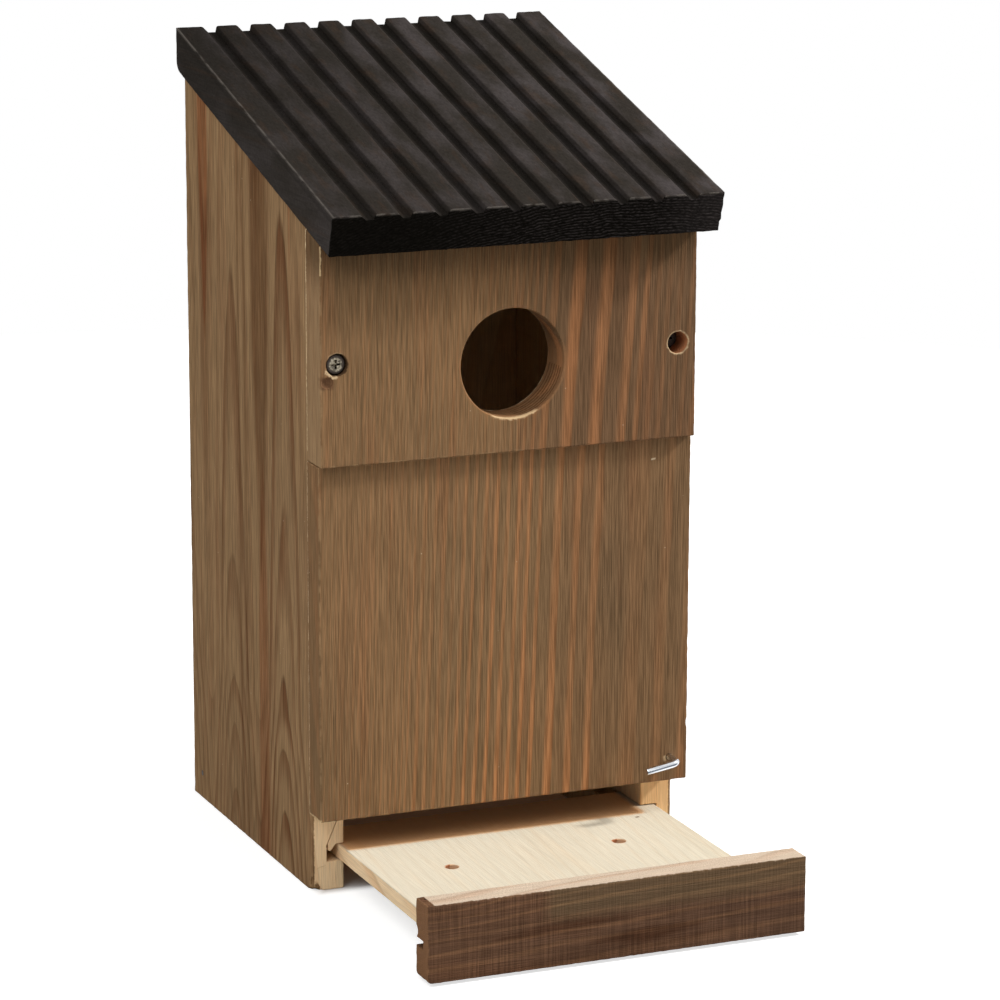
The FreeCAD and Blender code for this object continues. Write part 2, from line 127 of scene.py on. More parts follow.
class Workpiece:
    """A piece on the bench: a primitive, shaped in edit mode and finished with modifiers."""

    def __init__(self, name: str) -> None:
        """Takes up the primitive that was just added.

        Args:
            name: the piece's own name.
        """
        self.obj = bpy.context.object
        self.obj.name = name
        self.obj.data.name = name
        bpy.ops.object.transform_apply(location=True, rotation=True, scale=True)

    @classmethod
    def block(cls, name: str, low: Sequence[float], high: Sequence[float]) -> Workpiece:
        """Lays a rough cuboid on the bench.

        Args:
            name: the piece's own name.
            low: its lowest corner.
            high: its highest corner.

        Returns:
            The cuboid.
        """
        clear_bench()
        start, end = Vector(low) * MM, Vector(high) * MM
        bpy.ops.mesh.primitive_cube_add(size=1.0, location=(start + end) / 2, scale=end - start)
        return cls(name)

    @classmethod
    def board(cls, name: str, low: Vector, high: Vector, front: float, arris: float,
              pitch: Sequence[float]) -> Workpiece:
        """Saws a board, eases its arrises and divides it into a grid.

        Args:
            name: the piece's own name.
            low: its lowest corner.
            high: its highest corner, at the back.
            front: how high its front is, from which the top slopes up.
            arris: how far its edges are taken off.
            pitch: about how long a division is along X, Y and Z.

        Returns:
            The board.
        """
        board = cls.block(name, low, (high.x, high.y, front))
        board.pick_verts(lambda p: p.y > high.y - 1.0 and p.z > front - 1.0)
        board.move((0.0, 0.0, high.z - front))
        board.pick_arrises()
        board.bevel(arris, 2)
        board.grid(pitch)
        return board

    @classmethod
    def rod(cls, name: str, start: Sequence[float], end: Sequence[float], radius: float,
            sides: int = 32) -> Workpiece:
        """Lays a rough round bar on the bench.

        Args:
            name: the piece's own name.
            start: the middle of one end.
            end: the middle of the other end.
            radius: the bar's radius.
            sides: how many flats stand for its round.

        Returns:
            The bar.
        """
        clear_bench()
        foot, tip = Vector(start) * MM, Vector(end) * MM
        turn = Vector((0, 0, 1)).rotation_difference(tip - foot).to_euler()
        bpy.ops.mesh.primitive_cylinder_add(vertices=sides, radius=radius * MM, depth=(tip - foot).length,
                                            location=(foot + tip) / 2, rotation=turn)
        return cls(name)

    @classmethod
    def drill(cls, start: Sequence[float], end: Sequence[float], radius: float, flare: float = 0.25,
              sides: int = 32) -> Workpiece:
        """Makes a drill that flares where it enters, so that it leaves a broken rim.

        Args:
            start: where its middle meets the face.
            end: where its point goes.
            radius: the hole's radius.
            flare: how far the rim is broken back.
            sides: how many flats stand for its round.

        Returns:
            The drill.
        """
        run_out = 2.0
        entry, tip = Vector(start), Vector(end)
        inward = (tip - entry).normalized()
        bit = cls.rod("drill", entry + inward * flare, tip, radius, sides)
        bit.divide(inward, 1.0)
        bit.pick_faces(lambda p, n: n.dot(inward) < -FACING)
        bit.extrude(inward * -flare)
        bit.resize((radius + flare) / radius, entry)
        bit.extrude(inward * -run_out)
        return bit

    @classmethod
    def pebble(cls, name: str, centre: Sequence[float], radii: Sequence[float]) -> Workpiece:
        """Lays a rounded lump on the bench, for scooping a chip out of a board.

        Args:
            name: the piece's own name.
            centre: its middle.
            radii: its half sizes along X, Y and Z.

        Returns:
            The lump, with an uneven skin.
        """
        clear_bench()
        bpy.ops.mesh.primitive_ico_sphere_add(subdivisions=3, radius=1.0, location=Vector(centre) * MM,
                                              scale=Vector(radii) * MM)
        lump = cls(name)
        lump.roughen(depth=0.35 * min(radii), spread=0.6 * min(radii))
        return lump

    def hold(self) -> None:
        """Puts this piece alone on the bench, in object mode."""
        clear_bench()
        self.obj.select_set(True)
        bpy.context.view_layer.objects.active = self.obj

    def edit(self) -> None:
        """Puts this piece in edit mode."""
        if bpy.context.object is not self.obj or self.obj.mode != "EDIT":
            self.hold()
            bpy.ops.object.mode_set(mode="EDIT")

    def pick(self, part: Pick, test: Callable[[Any], bool]) -> None:
        """Selects the parts of the mesh that pass a test.

        Args:
            part: whether vertices, edges or faces are selected.
            test: says for one of them whether it is wanted.
        """
        self.edit()
        bpy.ops.mesh.select_mode(type=part.name)
        bpy.ops.mesh.select_all(action="DESELECT")
        mesh = bmesh.from_edit_mesh(self.obj.data)
        mesh.normal_update()
        for item in getattr(mesh, part.value):
            if test(item):
                item.select_set(True)
        mesh.select_flush_mode()
        bmesh.update_edit_mesh(self.obj.data)

    def pick_verts(self, test: Callable[[Vector], bool]) -> None:
        """Selects vertices by their place in millimetres."""
        self.pick(Pick.VERT, lambda vert: test(vert.co / MM))

    def pick_edges(self, test: Callable[[Vector, Vector], bool]) -> None:
        """Selects edges by the places of their two ends in millimetres."""
        self.pick(Pick.EDGE, lambda edge: test(edge.verts[0].co / MM, edge.verts[1].co / MM))

    def pick_faces(self, test: Callable[[Vector, Vector], bool]) -> None:
        """Selects faces by their middle in millimetres and their normal."""
        self.pick(Pick.FACE, lambda face: test(face.calc_center_median() / MM, face.normal))

    def pick_arrises(self, test: Callable[[Vector, Vector], bool] | None = None) -> None:
        """Selects the sharp outer edges.

        Args:
            test: says from an edge's two ends whether it is wanted; all are if there is none.
        """
        self.pick(Pick.EDGE, lambda edge: (
            edge.is_manifold and edge.is_convex and edge.calc_face_angle() > SHARP_ABOVE
            and (test is None or test(edge.verts[0].co / MM, edge.verts[1].co / MM))))

    def move(self, step: Sequence[float]) -> None:
        """Moves what is selected by a step in millimetres."""
        bpy.ops.transform.translate(value=Vector(step) * MM)

    def extrude(self, step: Sequence[float]) -> None:
        """Pulls what is selected out by a step in millimetres."""
        bpy.ops.mesh.extrude_region_move(TRANSFORM_OT_translate={"value": Vector(step) * MM})

    def resize(self, scale: float, centre: Sequence[float]) -> None:
        """Scales what is selected about a place in millimetres."""
        bpy.ops.transform.resize(value=(scale, scale, scale), center_override=Vector(centre) * MM)

    def bevel(self, width: float, segments: int = 2) -> None:
        """Takes the selected edges off.

        Args:
            width: how far the bevel reaches from each edge.
            segments: how many strips make the round.
        """
        bpy.ops.mesh.bevel(offset=width * MM, segments=segments, profile=0.5, affect="EDGES",
                           clamp_overlap=True)

    def slice(self, axis: Axis, places: Sequence[float]) -> None:
        """Scores the mesh right round at places along an axis.

        Args:
            axis: the direction that the places are measured along.
            places: where the scores go.
        """
        self.edit()
        for place in places:
            bpy.ops.mesh.select_all(action="SELECT")
            bpy.ops.mesh.bisect(plane_co=axis.unit * place * MM, plane_no=axis.unit)

    def divide(self, along: Vector, pitch: float) -> None:
        """Divides the long edges that run one way, so that they can be worn unevenly.

        Args:
            along: the direction of the edges.
            pitch: about how long each division is.
        """
        way = along.normalized()
        aligned = 0.94
        long_enough = 0.3
        longest = 0.0
        for start, end in self._edges():
            run = end - start
            if abs(run.dot(way)) > aligned * run.length:
                longest = max(longest, run.length)
        cuts = round(longest / pitch) - 1
        if cuts < 1:
            return
        self.pick_edges(lambda a, b: (b - a).length > long_enough * longest
                        and abs((b - a).dot(way)) > aligned * (b - a).length)
        bpy.ops.mesh.subdivide(number_cuts=cuts)

    def _edges(self) -> list[tuple[Vector, Vector]]:
        """Lists the edges.

        Returns:
            The two ends of every edge, in millimetres.
        """
        self.edit()
        mesh = bmesh.from_edit_mesh(self.obj.data)
        return [(edge.verts[0].co / MM, edge.verts[1].co / MM) for edge in mesh.edges]

    def modifier(self, kind: str, **settings: Any) -> None:
        """Adds a modifier, sets it and applies it.

        Args:
            kind: the modifier's type.
            settings: its settings by name.
        """
        self.hold()
        bpy.ops.object.modifier_add(type=kind)
        added = self.obj.modifiers[-1]
        for name, value in settings.items():
            setattr(added, name, value)
        bpy.ops.object.modifier_apply(modifier=added.name)

    def carve(self, cutter: Workpiece) -> None:
        """Cuts another piece's shape out of this one and throws that piece away.

        Args:
            cutter: the other piece.
        """
        cutter.hold()
        self.modifier("BOOLEAN", object=cutter.obj, operation="DIFFERENCE", solver="EXACT")
        cutter.discard()

    def join(self, others: Sequence[Workpiece]) -> None:
        """Makes other pieces part of this one's mesh.

        Args:
            others: the other pieces.
        """
        clear_bench()
        for other in others:
            other.obj.select_set(True)
        self.obj.select_set(True)
        bpy.context.view_layer.objects.active = self.obj
        bpy.ops.object.join()

    def copy(self, name: str, place: Matrix) -> Workpiece:
        """Makes a copy with its own mesh.

        Args:
            name: the copy's name.
            place: where the copy goes, in metres.

        Returns:
            The copy, its place in its mesh.
        """
        self.hold()
        bpy.ops.object.duplicate(linked=False)
        bpy.context.object.matrix_world = place
        return Workpiece(name)

    def discard(self) -> None:
        """Takes this piece off the bench for good."""
        mesh = self.obj.data
        bpy.data.objects.remove(self.obj)
        bpy.data.meshes.remove(mesh)

    def roughen(self, depth: float, spread: float, group: str = FLATS, spared: bool = True) -> None:
        """Makes the skin uneven.

        Args:
            depth: from the lowest hollow to the highest bump.
            spread: about how wide a bump is.
            group: the vertex group that this is about.
            spared: whether that group is left as it is, or else is all that is made uneven.
        """
        skin = bpy.data.textures.new("uneven_skin", "CLOUDS")
        skin.noise_scale = spread * MM
        skin.noise_depth = 2
        self.modifier("DISPLACE", texture=skin, texture_coords="LOCAL", strength=depth * MM, mid_level=0.5,
                      vertex_group=group, invert_vertex_group=spared)
        bpy.data.textures.remove(skin)

    def group(self, name: str) -> None:
        """Notes what is selected as a vertex group of its own.

        Args:
            name: the group's name.
        """
        bpy.ops.object.vertex_group_add()
        self.obj.vertex_groups.active.name = name
        bpy.ops.object.vertex_group_assign()

    def grid(self, pitch: Sequence[float], border: float = 0.5, width: float = 1.5) -> None:
        """Divides a board into a fine grid and notes which of its faces stay flat.

        Args:
            pitch: about how long a division is along X, Y and Z.
            border: how far the wear of the edges reaches into a face.
            width: the least width of a face that stays flat.
        """
        self.pick(Pick.FACE, lambda face: face.calc_area() > width * MM * max(
            edge.calc_length() for edge in face.edges))
        bpy.ops.mesh.inset(thickness=border * MM, depth=0.0, use_even_offset=True, use_boundary=True)
        self.group(FLATS)
        for axis, step in zip(Axis, pitch):
            self.divide(axis.unit, step)

    def tidy_mesh(self) -> None:
        """Merges doubles and turns every face outwards."""
        self.edit()
        bpy.ops.mesh.select_all(action="SELECT")
        bpy.ops.mesh.remove_doubles(threshold=0.001 * MM)
        bpy.ops.mesh.normals_make_consistent(inside=False)

    def fit(self, body: Body, slot: str, finish: Finish, *nodes: str) -> None:
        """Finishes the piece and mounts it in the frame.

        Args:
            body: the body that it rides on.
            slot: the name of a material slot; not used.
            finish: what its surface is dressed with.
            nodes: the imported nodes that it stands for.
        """
        self.hold()
        bpy.ops.object.shade_smooth_by_angle(angle=SMOOTH_BELOW)
        self.obj.data.materials.clear()
        self.obj.data.materials.append(finish.make(f"{self.obj.name}_finish"))
        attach(self.obj, body.value)
        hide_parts(*nodes)
        log.info("%s: %d faces on %s", self.obj.name, len(self.obj.data.polygons), body.value)


def clear_bench() -> None:
    """Leaves edit mode and deselects everything."""
    if bpy.context.object is not None and bpy.context.object.mode != "OBJECT":
        bpy.ops.object.mode_set(mode="OBJECT")
    bpy.ops.object.select_all(action="DESELECT")


class Value:
    """A shader value, on which sums can be written as sums."""

    def __init__(self, sheet: NodeSheet, socket: bpy.types.NodeSocket) -> None:
        """Wraps an output socket.

        Args:
            sheet: the node sheet that the socket is on.
            socket: the socket.
        """
        self.sheet = sheet
        self.socket = socket

    def _sum(self, operation: str, left: Value | float, right: Value | float) -> Value:
        """Adds one Math node.

        Args:
            operation: the node's operation.
            left: its first value.
            right: its second value.

        Returns:
            The node's result.
        """
        return self.sheet.node("ShaderNodeMath", {"operation": operation}, {0: left, 1: right})

    def __add__(self, other: Value | float) -> Value:
        """Adds."""
        return self._sum("ADD", self, other)

    __radd__ = __add__

    def __sub__(self, other: Value | float) -> Value:
        """Subtracts."""
        return self._sum("SUBTRACT", self, other)

    def __rsub__(self, other: float) -> Value:
        """Subtracts from a number."""
        return self._sum("SUBTRACT", other, self)

    def __mul__(self, other: Value | float) -> Value:
        """Multiplies."""
        return self._sum("MULTIPLY", self, other)

    __rmul__ = __mul__

    def __pow__(self, other: float) -> Value:
        """Raises to a power."""
        return self._sum("POWER", self, other)

    def least(self, other: Value | float) -> Value:
        """Gives the smaller of two values."""
        return self._sum("MINIMUM", self, other)

    def most(self, other: Value | float) -> Value:
        """Gives the larger of two values."""
        return self._sum("MAXIMUM", self, other)

    def whole(self) -> Value:
        """Gives the whole number below."""
        return self._sum("FLOOR", self, 0.0)

    def size(self) -> Value:
        """Gives the value without its sign."""
        return self._sum("ABSOLUTE", self, 0.0)

    def swing(self) -> Value:
        """Gives the cosine."""
        return self._sum("COSINE", self, 0.0)

    def profile(self, stops: Sequence[tuple[float, float]]) -> Value:
        """Reads this value off a line drawn through stops.

        Args:
            stops: places and heights; the line is level outside them.

        Returns:
            The height.
        """
        slopes = [(b[1] - a[1]) / (b[0] - a[0]) for a, b in zip(stops, stops[1:])]
        height: Value | float = stops[0][1]
        for (place, _), change in zip(stops, (b - a for a, b in zip([0.0, *slopes], [*slopes, 0.0]))):
            height = (self - place).most(0.0) * change + height
        return height

    def ease(self, start: float, end: float) -> Value:
        """Gives 0 before a start and 1 after an end, smoothly in between."""
        return self.sheet.node("ShaderNodeMapRange", {"interpolation_type": "SMOOTHSTEP"},
                               {"Value": self, "From Min": start, "From Max": end})


class NodeSheet:
    """A material's or world's node tree, written as expressions."""

    def __init__(self, tree: bpy.types.NodeTree) -> None:
        """Clears a node tree to start from.

        Args:
            tree: the tree.
        """
        self.tree = tree
        tree.nodes.clear()
        self._place: Value | None = None

    def node(self, kind: str, settings: dict[str, Any] | None = None,
             sockets: dict[str | int, Any] | None = None, output: str | int = 0) -> Value:
        """Adds one node.

        Args:
            kind: the node's type.
            settings: its settings by name, which are set first.
            sockets: the values or links of its inputs.
            output: which output is wanted.

        Returns:
            That output.
        """
        made = self.tree.nodes.new(kind)
        for name, value in (settings or {}).items():
            setattr(made, name, value)
        for name, value in (sockets or {}).items():
            port = made.inputs[name]
            if isinstance(value, Value):
                self.tree.links.new(value.socket, port)
            else:
                port.default_value = value
        if not made.outputs:
            return Value(self, None)
        return Value(self, made.outputs[output])

    def place(self) -> Value:
        """Reads the place on the piece.

        Returns:
            The place in millimetres, as a vector.
        """
        if self._place is None:
            here = self.node("ShaderNodeTexCoord", output="Object")
            self._place = self.vector_sum("SCALE", here, Scale=1.0 / MM)
        return self._place

    def axes(self, vector: Value) -> tuple[Value, Value, Value]:
        """Takes a vector apart into X, Y and Z."""
        apart = self.node("ShaderNodeSeparateXYZ", sockets={0: vector}).socket.node
        return tuple(Value(self, port) for port in apart.outputs)

    def vector(self, x: Value | float, y: Value | float, z: Value | float) -> Value:
        """Puts a vector together."""
        return self.node("ShaderNodeCombineXYZ", sockets={0: x, 1: y, 2: z})

    def vector_sum(self, operation: str, left: Value, right: Any = None, output: str | int = 0,
                   **sockets: Any) -> Value:
        """Adds one Vector Math node.

        Args:
            operation: the node's operation.
            left: its first vector.
            right: its second vector, if it has one.
            output: which output is wanted.
            sockets: its other inputs by name.

        Returns:
            That output.
        """
        ports: dict[str | int, Any] = {0: left, **sockets}
        if right is not None:
            ports[1] = right
        return self.node("ShaderNodeVectorMath", {"operation": operation}, ports, output)

    def blend(self, first: Value | Colour, second: Value | Colour, share: Value | float,
              mode: str = "MIX") -> Value:
        """Mixes two colours.

        Args:
            first: the colour at a share of 0.
            second: the colour that comes in.
            share: how much of it comes in.
            mode: the way that the two are mixed.

        Returns:
            The mixed colour.
        """
        factor, colour_a, colour_b, result = 0, 6, 7, 2
        return self.node("ShaderNodeMix", {"data_type": "RGBA", "blend_type": mode},
                         {factor: share, colour_a: first, colour_b: second}, result)

    def noise(self, vector: Value, detail: float = 2.0, roughness: float = 0.5,
              scale: float = 1.0) -> Value:
        """Gives soft noise from 0 to 1.

        Args:
            vector: where in the noise, one unit to a lump.
            detail: how many finer layers it has.
            roughness: how strong those are.
            scale: lumps to a unit.

        Returns:
            The noise.
        """
        return self.node("ShaderNodeTexNoise", sockets={
            "Vector": vector, "Scale": scale, "Detail": detail, "Roughness": roughness})

    def stretched(self, across: Value, through: Value, along: Value, wide: float, length: float,
                  seed: float = 0.0, detail: float = 2.0) -> Value:
        """Gives noise drawn out along a board.

        Args:
            across: the place across the board.
            through: the place through its thickness.
            along: the place along it.
            wide: about how wide a streak is.
            length: about how long a streak is.
            seed: tells one board's noise from another's.
            detail: how many finer layers it has.

        Returns:
            The noise, from 0 to 1.
        """
        spot = self.vector(across * (1.0 / wide) + seed, through * (1.0 / wide) + 0.7 * seed,
                           along * (1.0 / length) + 0.3 * seed)
        return self.noise(spot, detail)

    def bump(self, height: Value, depth: float, strength: float = 1.0) -> Value:
        """Turns a height from 0 to 1 into a bumped normal.

        Args:
            height: the height.
            depth: how deep the relief is.
            strength: how much of it shows.

        Returns:
            The normal.
        """
        return self.node("ShaderNodeBump", sockets={
            "Strength": strength, "Distance": depth * MM, "Height": height})

    def surface(self, **sockets: Any) -> None:
        """Ends the sheet with the usual shader.

        Args:
            sockets: the shader's inputs by name, with an underscore for a space.
        """
        shader = self.node("ShaderNodeBsdfPrincipled", sockets={
            name.replace("_", " "): value for name, value in sockets.items()})
        self.node("ShaderNodeOutputMaterial", sockets={"Surface": shader})


class Finish:
    """What a surface is dressed with."""

    def make(self, name: str) -> bpy.types.Material:
        """Makes the material.

        Args:
            name: the material's name.

        Returns:
            The material.
        """
        material = bpy.data.materials.new(name)
        material.use_nodes = True
        self.draw(NodeSheet(material.node_tree))
        return material

    def draw(self, sheet: NodeSheet) -> None:
        """Draws the material's nodes."""
        raise NotImplementedError


@dataclass(frozen=True)
class Timber:
    """The colours of one kind of board."""

    early: Colour
    late: Colour
    grey: Colour
    warm: Colour
    ring_show: float = 0.8
    fibre_show: float = 0.2
    grey_show: float = 0.5
    warm_show: float = 0.4


@dataclass(frozen=True)
class Sawing:
    """How a board lay in its log, which gives its growth rings.

    The rows are places across the board with the ring spacing from there on.  The rises are places
    along it with the number of rings passed up to there.  The bends turn the rings into arches: places
    along the board with how many rings high the arches are there.  The shows and fades are how strongly
    the rings show, at places across and along the board.
    """

    along: Axis
    across: Axis
    through: Axis
    rows: tuple[tuple[float, float], ...]
    shows: tuple[tuple[float, float], ...]
    middle: float = 0.0
    lean: float = 0.0
    depth: float = 0.1
    rises: tuple[tuple[float, float], ...] = ()
    bends: tuple[tuple[float, float], ...] = ()
    apart: float = 44.0
    valley: float = 0.0
    fades: tuple[tuple[float, float], ...] = ()
    late: tuple[float, float] = (0.5, 0.78)
    wander: float = 1.5
    ripple: float = 0.2
    reach: float = 70.0
    seed: float = 0.0

    def counts(self) -> list[tuple[float, float]]:
        """Counts the rings across the board.

        Returns:
            Places across the board with the number of rings up to there.
        """
        stops = [(self.rows[0][0], 0.0)]
        for (place, spacing), (end, _) in zip(self.rows, self.rows[1:]):
            stops.append((end, stops[-1][1] + (end - place) / spacing))
        return stops


# The width and length of the marks that growth leaves along a board.
FIBRE = (0.24, 10.0)
STREAK = (0.9, 45.0)
GREYING = (20.0, 80.0)
GLOW = (6.0, 70.0)


@dataclass
class Grain:
    """The shader values that a board's growth gives."""

    across: Value
    through: Value
    along: Value
    place: Value
    height: Value
    late: Value
    brink: Value
    fibre: Value
    streak: Value
    patchy: Value
    glow: Value


@dataclass(frozen=True)
class Band:
    """A dark streak that runs with the grain and thins out towards its ends."""

    place: float
    half: float
    foot: float
    tip: float
    filter: Colour
    amount: float = 1.0
    taper: float = 60.0
    soft: float = 1.2

    def mask(self, grain: Grain) -> Value:
        """Gives 1 in the middle of the streak and 0 beside it.

        Args:
            grain: the board's growth.

        Returns:
            How much of the streak shows.
        """
        room = (self.tip - grain.height).least(grain.height - self.foot)
        half = (room * (1.0 / self.taper)).least(1.0).most(0.0) * self.half
        beside = (grain.place - self.place).size() - half
        uneven = grain.streak * 0.35 + 0.65
        shown = (1.0 - beside.ease(-self.soft, self.soft)) * room.ease(0.0, 0.3 * self.taper)
        return shown * uneven * self.amount


@dataclass(frozen=True)
class Patch:
    """A soft-edged box of a board that looks different from the rest."""

    low: Triple
    high: Triple
    look: Timber | Colour
    soft: float = 0.6
    ragged: float = 0.8
    amount: float = 1.0

    def mask(self, sheet: NodeSheet) -> Value:
        """Gives 1 inside the box and 0 outside it.

        Args:
            sheet: the node sheet.

        Returns:
            How much of the patch shows.
        """
        middle = [(a + b) / 2 for a, b in zip(self.low, self.high)]
        half = [(b - a) / 2 for a, b in zip(self.low, self.high)]
        wobble = sheet.node("ShaderNodeTexNoise", sockets={
            "Vector": sheet.place(), "Scale": 0.9, "Detail": 3.0}, output="Color")
        wobble = sheet.vector_sum("SUBTRACT", wobble, (0.5, 0.5, 0.5))
        wobble = sheet.vector_sum("SCALE", wobble, Scale=self.ragged * 2.0)
        here = sheet.vector_sum("ADD", sheet.place(), wobble)
        here = sheet.vector_sum("SUBTRACT", here, middle)
        here = sheet.vector_sum("ABSOLUTE", here)
        here = sheet.vector_sum("SUBTRACT", here, half)
        here = sheet.vector_sum("MAXIMUM", here, (0.0, 0.0, 0.0))
        outside = sheet.vector_sum("LENGTH", here, output="Value")
        return (1.0 - outside.ease(0.0, self.soft)) * self.amount


@dataclass(frozen=True)
class RingPatch(Patch):
    """A patch that shows only on a disc or ring about an axis."""

    centre: Triple = (0.0, 0.0, 0.0)
    about: Axis = Axis.Y
    inner: float = 0.0
    outer: float = 1.0
    blur: float = 0.3

    def mask(self, sheet: NodeSheet) -> Value:
        """Gives 1 on the ring, where that is in the box, and 0 elsewhere.

        Args:
            sheet: the node sheet.

        Returns:
            How much of the patch shows.
        """
        square = [0.0 if axis is self.about else 1.0 for axis in Axis]
        away = sheet.vector_sum("SUBTRACT", sheet.place(), self.centre)
        away = sheet.vector_sum("MULTIPLY", away, square)
        wobble = (sheet.noise(sheet.place(), 3.0, 0.6, 0.8) - 0.5) * (2.0 * self.ragged)
        radius = sheet.vector_sum("LENGTH", away, output="Value") + wobble
        shown = 1.0 - radius.ease(self.outer - self.blur, self.outer + self.blur)
        if self.inner:
            shown = shown * radius.ease(self.inner - self.blur, self.inner + self.blur)
        return super().mask(sheet) * shown


@dataclass(frozen=True)
class WoodFinish(Finish):
    """A sawn board with its growth rings, fibres, stain and marks."""

    timber: Timber
    sawing: Sawing
    patches: tuple[Patch, ...] = ()
    bands: tuple[Band, ...] = ()
    edges: tuple[Triple, Triple] | None = None
    edge_look: Colour = tint(176, 146, 108)
    edge_show: float = 0.5
    saw_marks: float = 0.0
    relief: float = 0.12
    speck_look: Colour = tint(222, 204, 172)
    speck_show: float = 0.0
    rough: float = 0.94
    fibre_sheen: float = 0.22
    gloss: float = 0.01

    def grain(self, sheet: NodeSheet) -> Grain:
        """Draws the growth rings and fibres.

        Args:
            sheet: the node sheet.

        Returns:
            The values that colours and relief are made from.
        """
        saw = self.sawing
        parts = sheet.axes(sheet.place())
        across, through, height = (parts[axis.value] for axis in (saw.across, saw.through, saw.along))
        along = height - saw.middle
        slow = sheet.stretched(across, through, along, saw.reach * 0.35, saw.reach, saw.seed, 1.0) - 0.5
        quick = sheet.stretched(across, through, along, 7.0, saw.reach * 0.6, saw.seed + 5.0, 2.0) - 0.5
        fibre = sheet.stretched(across, through, along, *FIBRE, saw.seed + 11.0, 2.0).ease(0.25, 0.75)
        streak = sheet.stretched(across, through, along, *STREAK, saw.seed + 17.0, 3.0).ease(0.25, 0.75)
        place = across - along * saw.lean + slow * (2.0 * saw.wander)
        count = place.profile(saw.counts()) + through * saw.depth + quick * (2.0 * saw.ripple)
        if saw.rises:
            count = count + height.profile(saw.rises)
        if saw.bends:
            swing = ((place - saw.valley) * (2.0 * math.pi / saw.apart)).swing()
            count = count + swing * height.profile(saw.bends)
        ring = count.whole()
        share = count - ring
        mood = sheet.node("ShaderNodeTexWhiteNoise", {"noise_dimensions": "1D"}, {"W": ring + saw.seed})
        patchy = sheet.stretched(across, through, along, *GREYING, saw.seed + 3.0, 3.0)
        glow = sheet.stretched(across, through, along, *GLOW, saw.seed + 7.0, 2.0)
        strength = (mood * 0.5 + 0.5) * (glow.ease(0.25, 0.65) * 0.5 + 0.5) * place.profile(saw.shows)
        if saw.fades:
            strength = strength * height.profile(saw.fades)
        late = share.ease(*saw.late) * (1.0 - share.ease(0.9, 1.0)) * strength
        brink = share.ease(saw.late[1], 0.93) * (1.0 - share.ease(0.95, 1.0)) * strength
        return Grain(across, through, along, place, height, late, brink, fibre, streak, patchy, glow)

    def colour(self, sheet: NodeSheet, grain: Grain, timber: Timber) -> Value:
        """Mixes a board's colour from its growth.

        Args:
            sheet: the node sheet.
            grain: the board's growth.
            timber: its colours.

        Returns:
            The colour.
        """
        mixed = sheet.blend(timber.early, timber.grey, grain.patchy.ease(0.42, 0.68) * timber.grey_show)
        mixed = sheet.blend(mixed, timber.warm, grain.glow.ease(0.5, 0.75) * timber.warm_show)
        mixed = sheet.blend(mixed, timber.late, grain.late * timber.ring_show)
        level = (grain.fibre * 1.5 + grain.streak * 0.5 - 1.0) * timber.fibre_show + 1.0
        level = level * (1.0 - grain.brink * (0.28 * timber.ring_show))
        return sheet.vector_sum("SCALE", mixed, Scale=level)

    def arris(self, sheet: NodeSheet) -> Value:
        """Gives 1 on the board's own edges and 0 a little way in.

        Args:
            sheet: the node sheet.

        Returns:
            How worn the place is.
        """
        low, high = self.edges
        middle = [(a + b) / 2 for a, b in zip(low, high)]
        half = [(b - a) / 2 for a, b in zip(low, high)]
        inward = sheet.vector_sum("ABSOLUTE", sheet.vector_sum("SUBTRACT", sheet.place(), middle))
        x, y, z = sheet.axes(sheet.vector_sum("SUBTRACT", inward, half))
        x, y, z = 0.0 - x, 0.0 - y, 0.0 - z
        nearest = x.least(y).most(x.most(y).least(z))
        worn = sheet.noise(sheet.place(), detail=3.0, scale=0.35)
        return (1.0 - nearest.ease(0.15, 0.75)) * worn.ease(0.4, 0.65)

    def draw(self, sheet: NodeSheet) -> None:
        """Draws the board's nodes.

        Args:
            sheet: the node sheet.
        """
        grain = self.grain(sheet)
        colour = self.colour(sheet, grain, self.timber)
        for band in self.bands:
            colour = sheet.blend(colour, band.filter, band.mask(grain), "MULTIPLY")
        height = grain.fibre * 0.7 + grain.streak * 0.3 + grain.late * 0.3
        if self.saw_marks:
            turned = (grain.along, grain.through, grain.across)
            marks = sheet.stretched(*turned, 0.6, 16.0, 2.0, 3.0).ease(0.3, 0.7)
            faint = sheet.stretched(*turned, 14.0, 14.0, 6.0, 2.0).ease(0.3, 0.7)
            level = (marks - 0.5) * (faint * 1.4 + 0.6) * self.saw_marks + 1.0
            colour = sheet.vector_sum("SCALE", colour, Scale=level)
            height = height + marks * 0.7
        if self.edges:
            colour = sheet.blend(colour, self.edge_look, self.arris(sheet) * self.edge_show)
        for patch in self.patches:
            look = patch.look
            if isinstance(look, Timber):
                look = self.colour(sheet, grain, look)
            colour = sheet.blend(colour, look, patch.mask(sheet))
        if self.speck_show:
            dots = sheet.node("ShaderNodeTexVoronoi", {"feature": "F1"},
                              {"Vector": sheet.place(), "Scale": 0.12, "Randomness": 1.0}, "Distance")
            specks = (1.0 - dots.ease(0.014, 0.03)) * self.speck_show
            colour = sheet.blend(colour, self.speck_look, specks)
        sheet.surface(Base_Color=colour, Roughness=self.rough - grain.fibre * self.fibre_sheen,
                      Specular_IOR_Level=self.gloss, Normal=sheet.bump(height, self.relief))


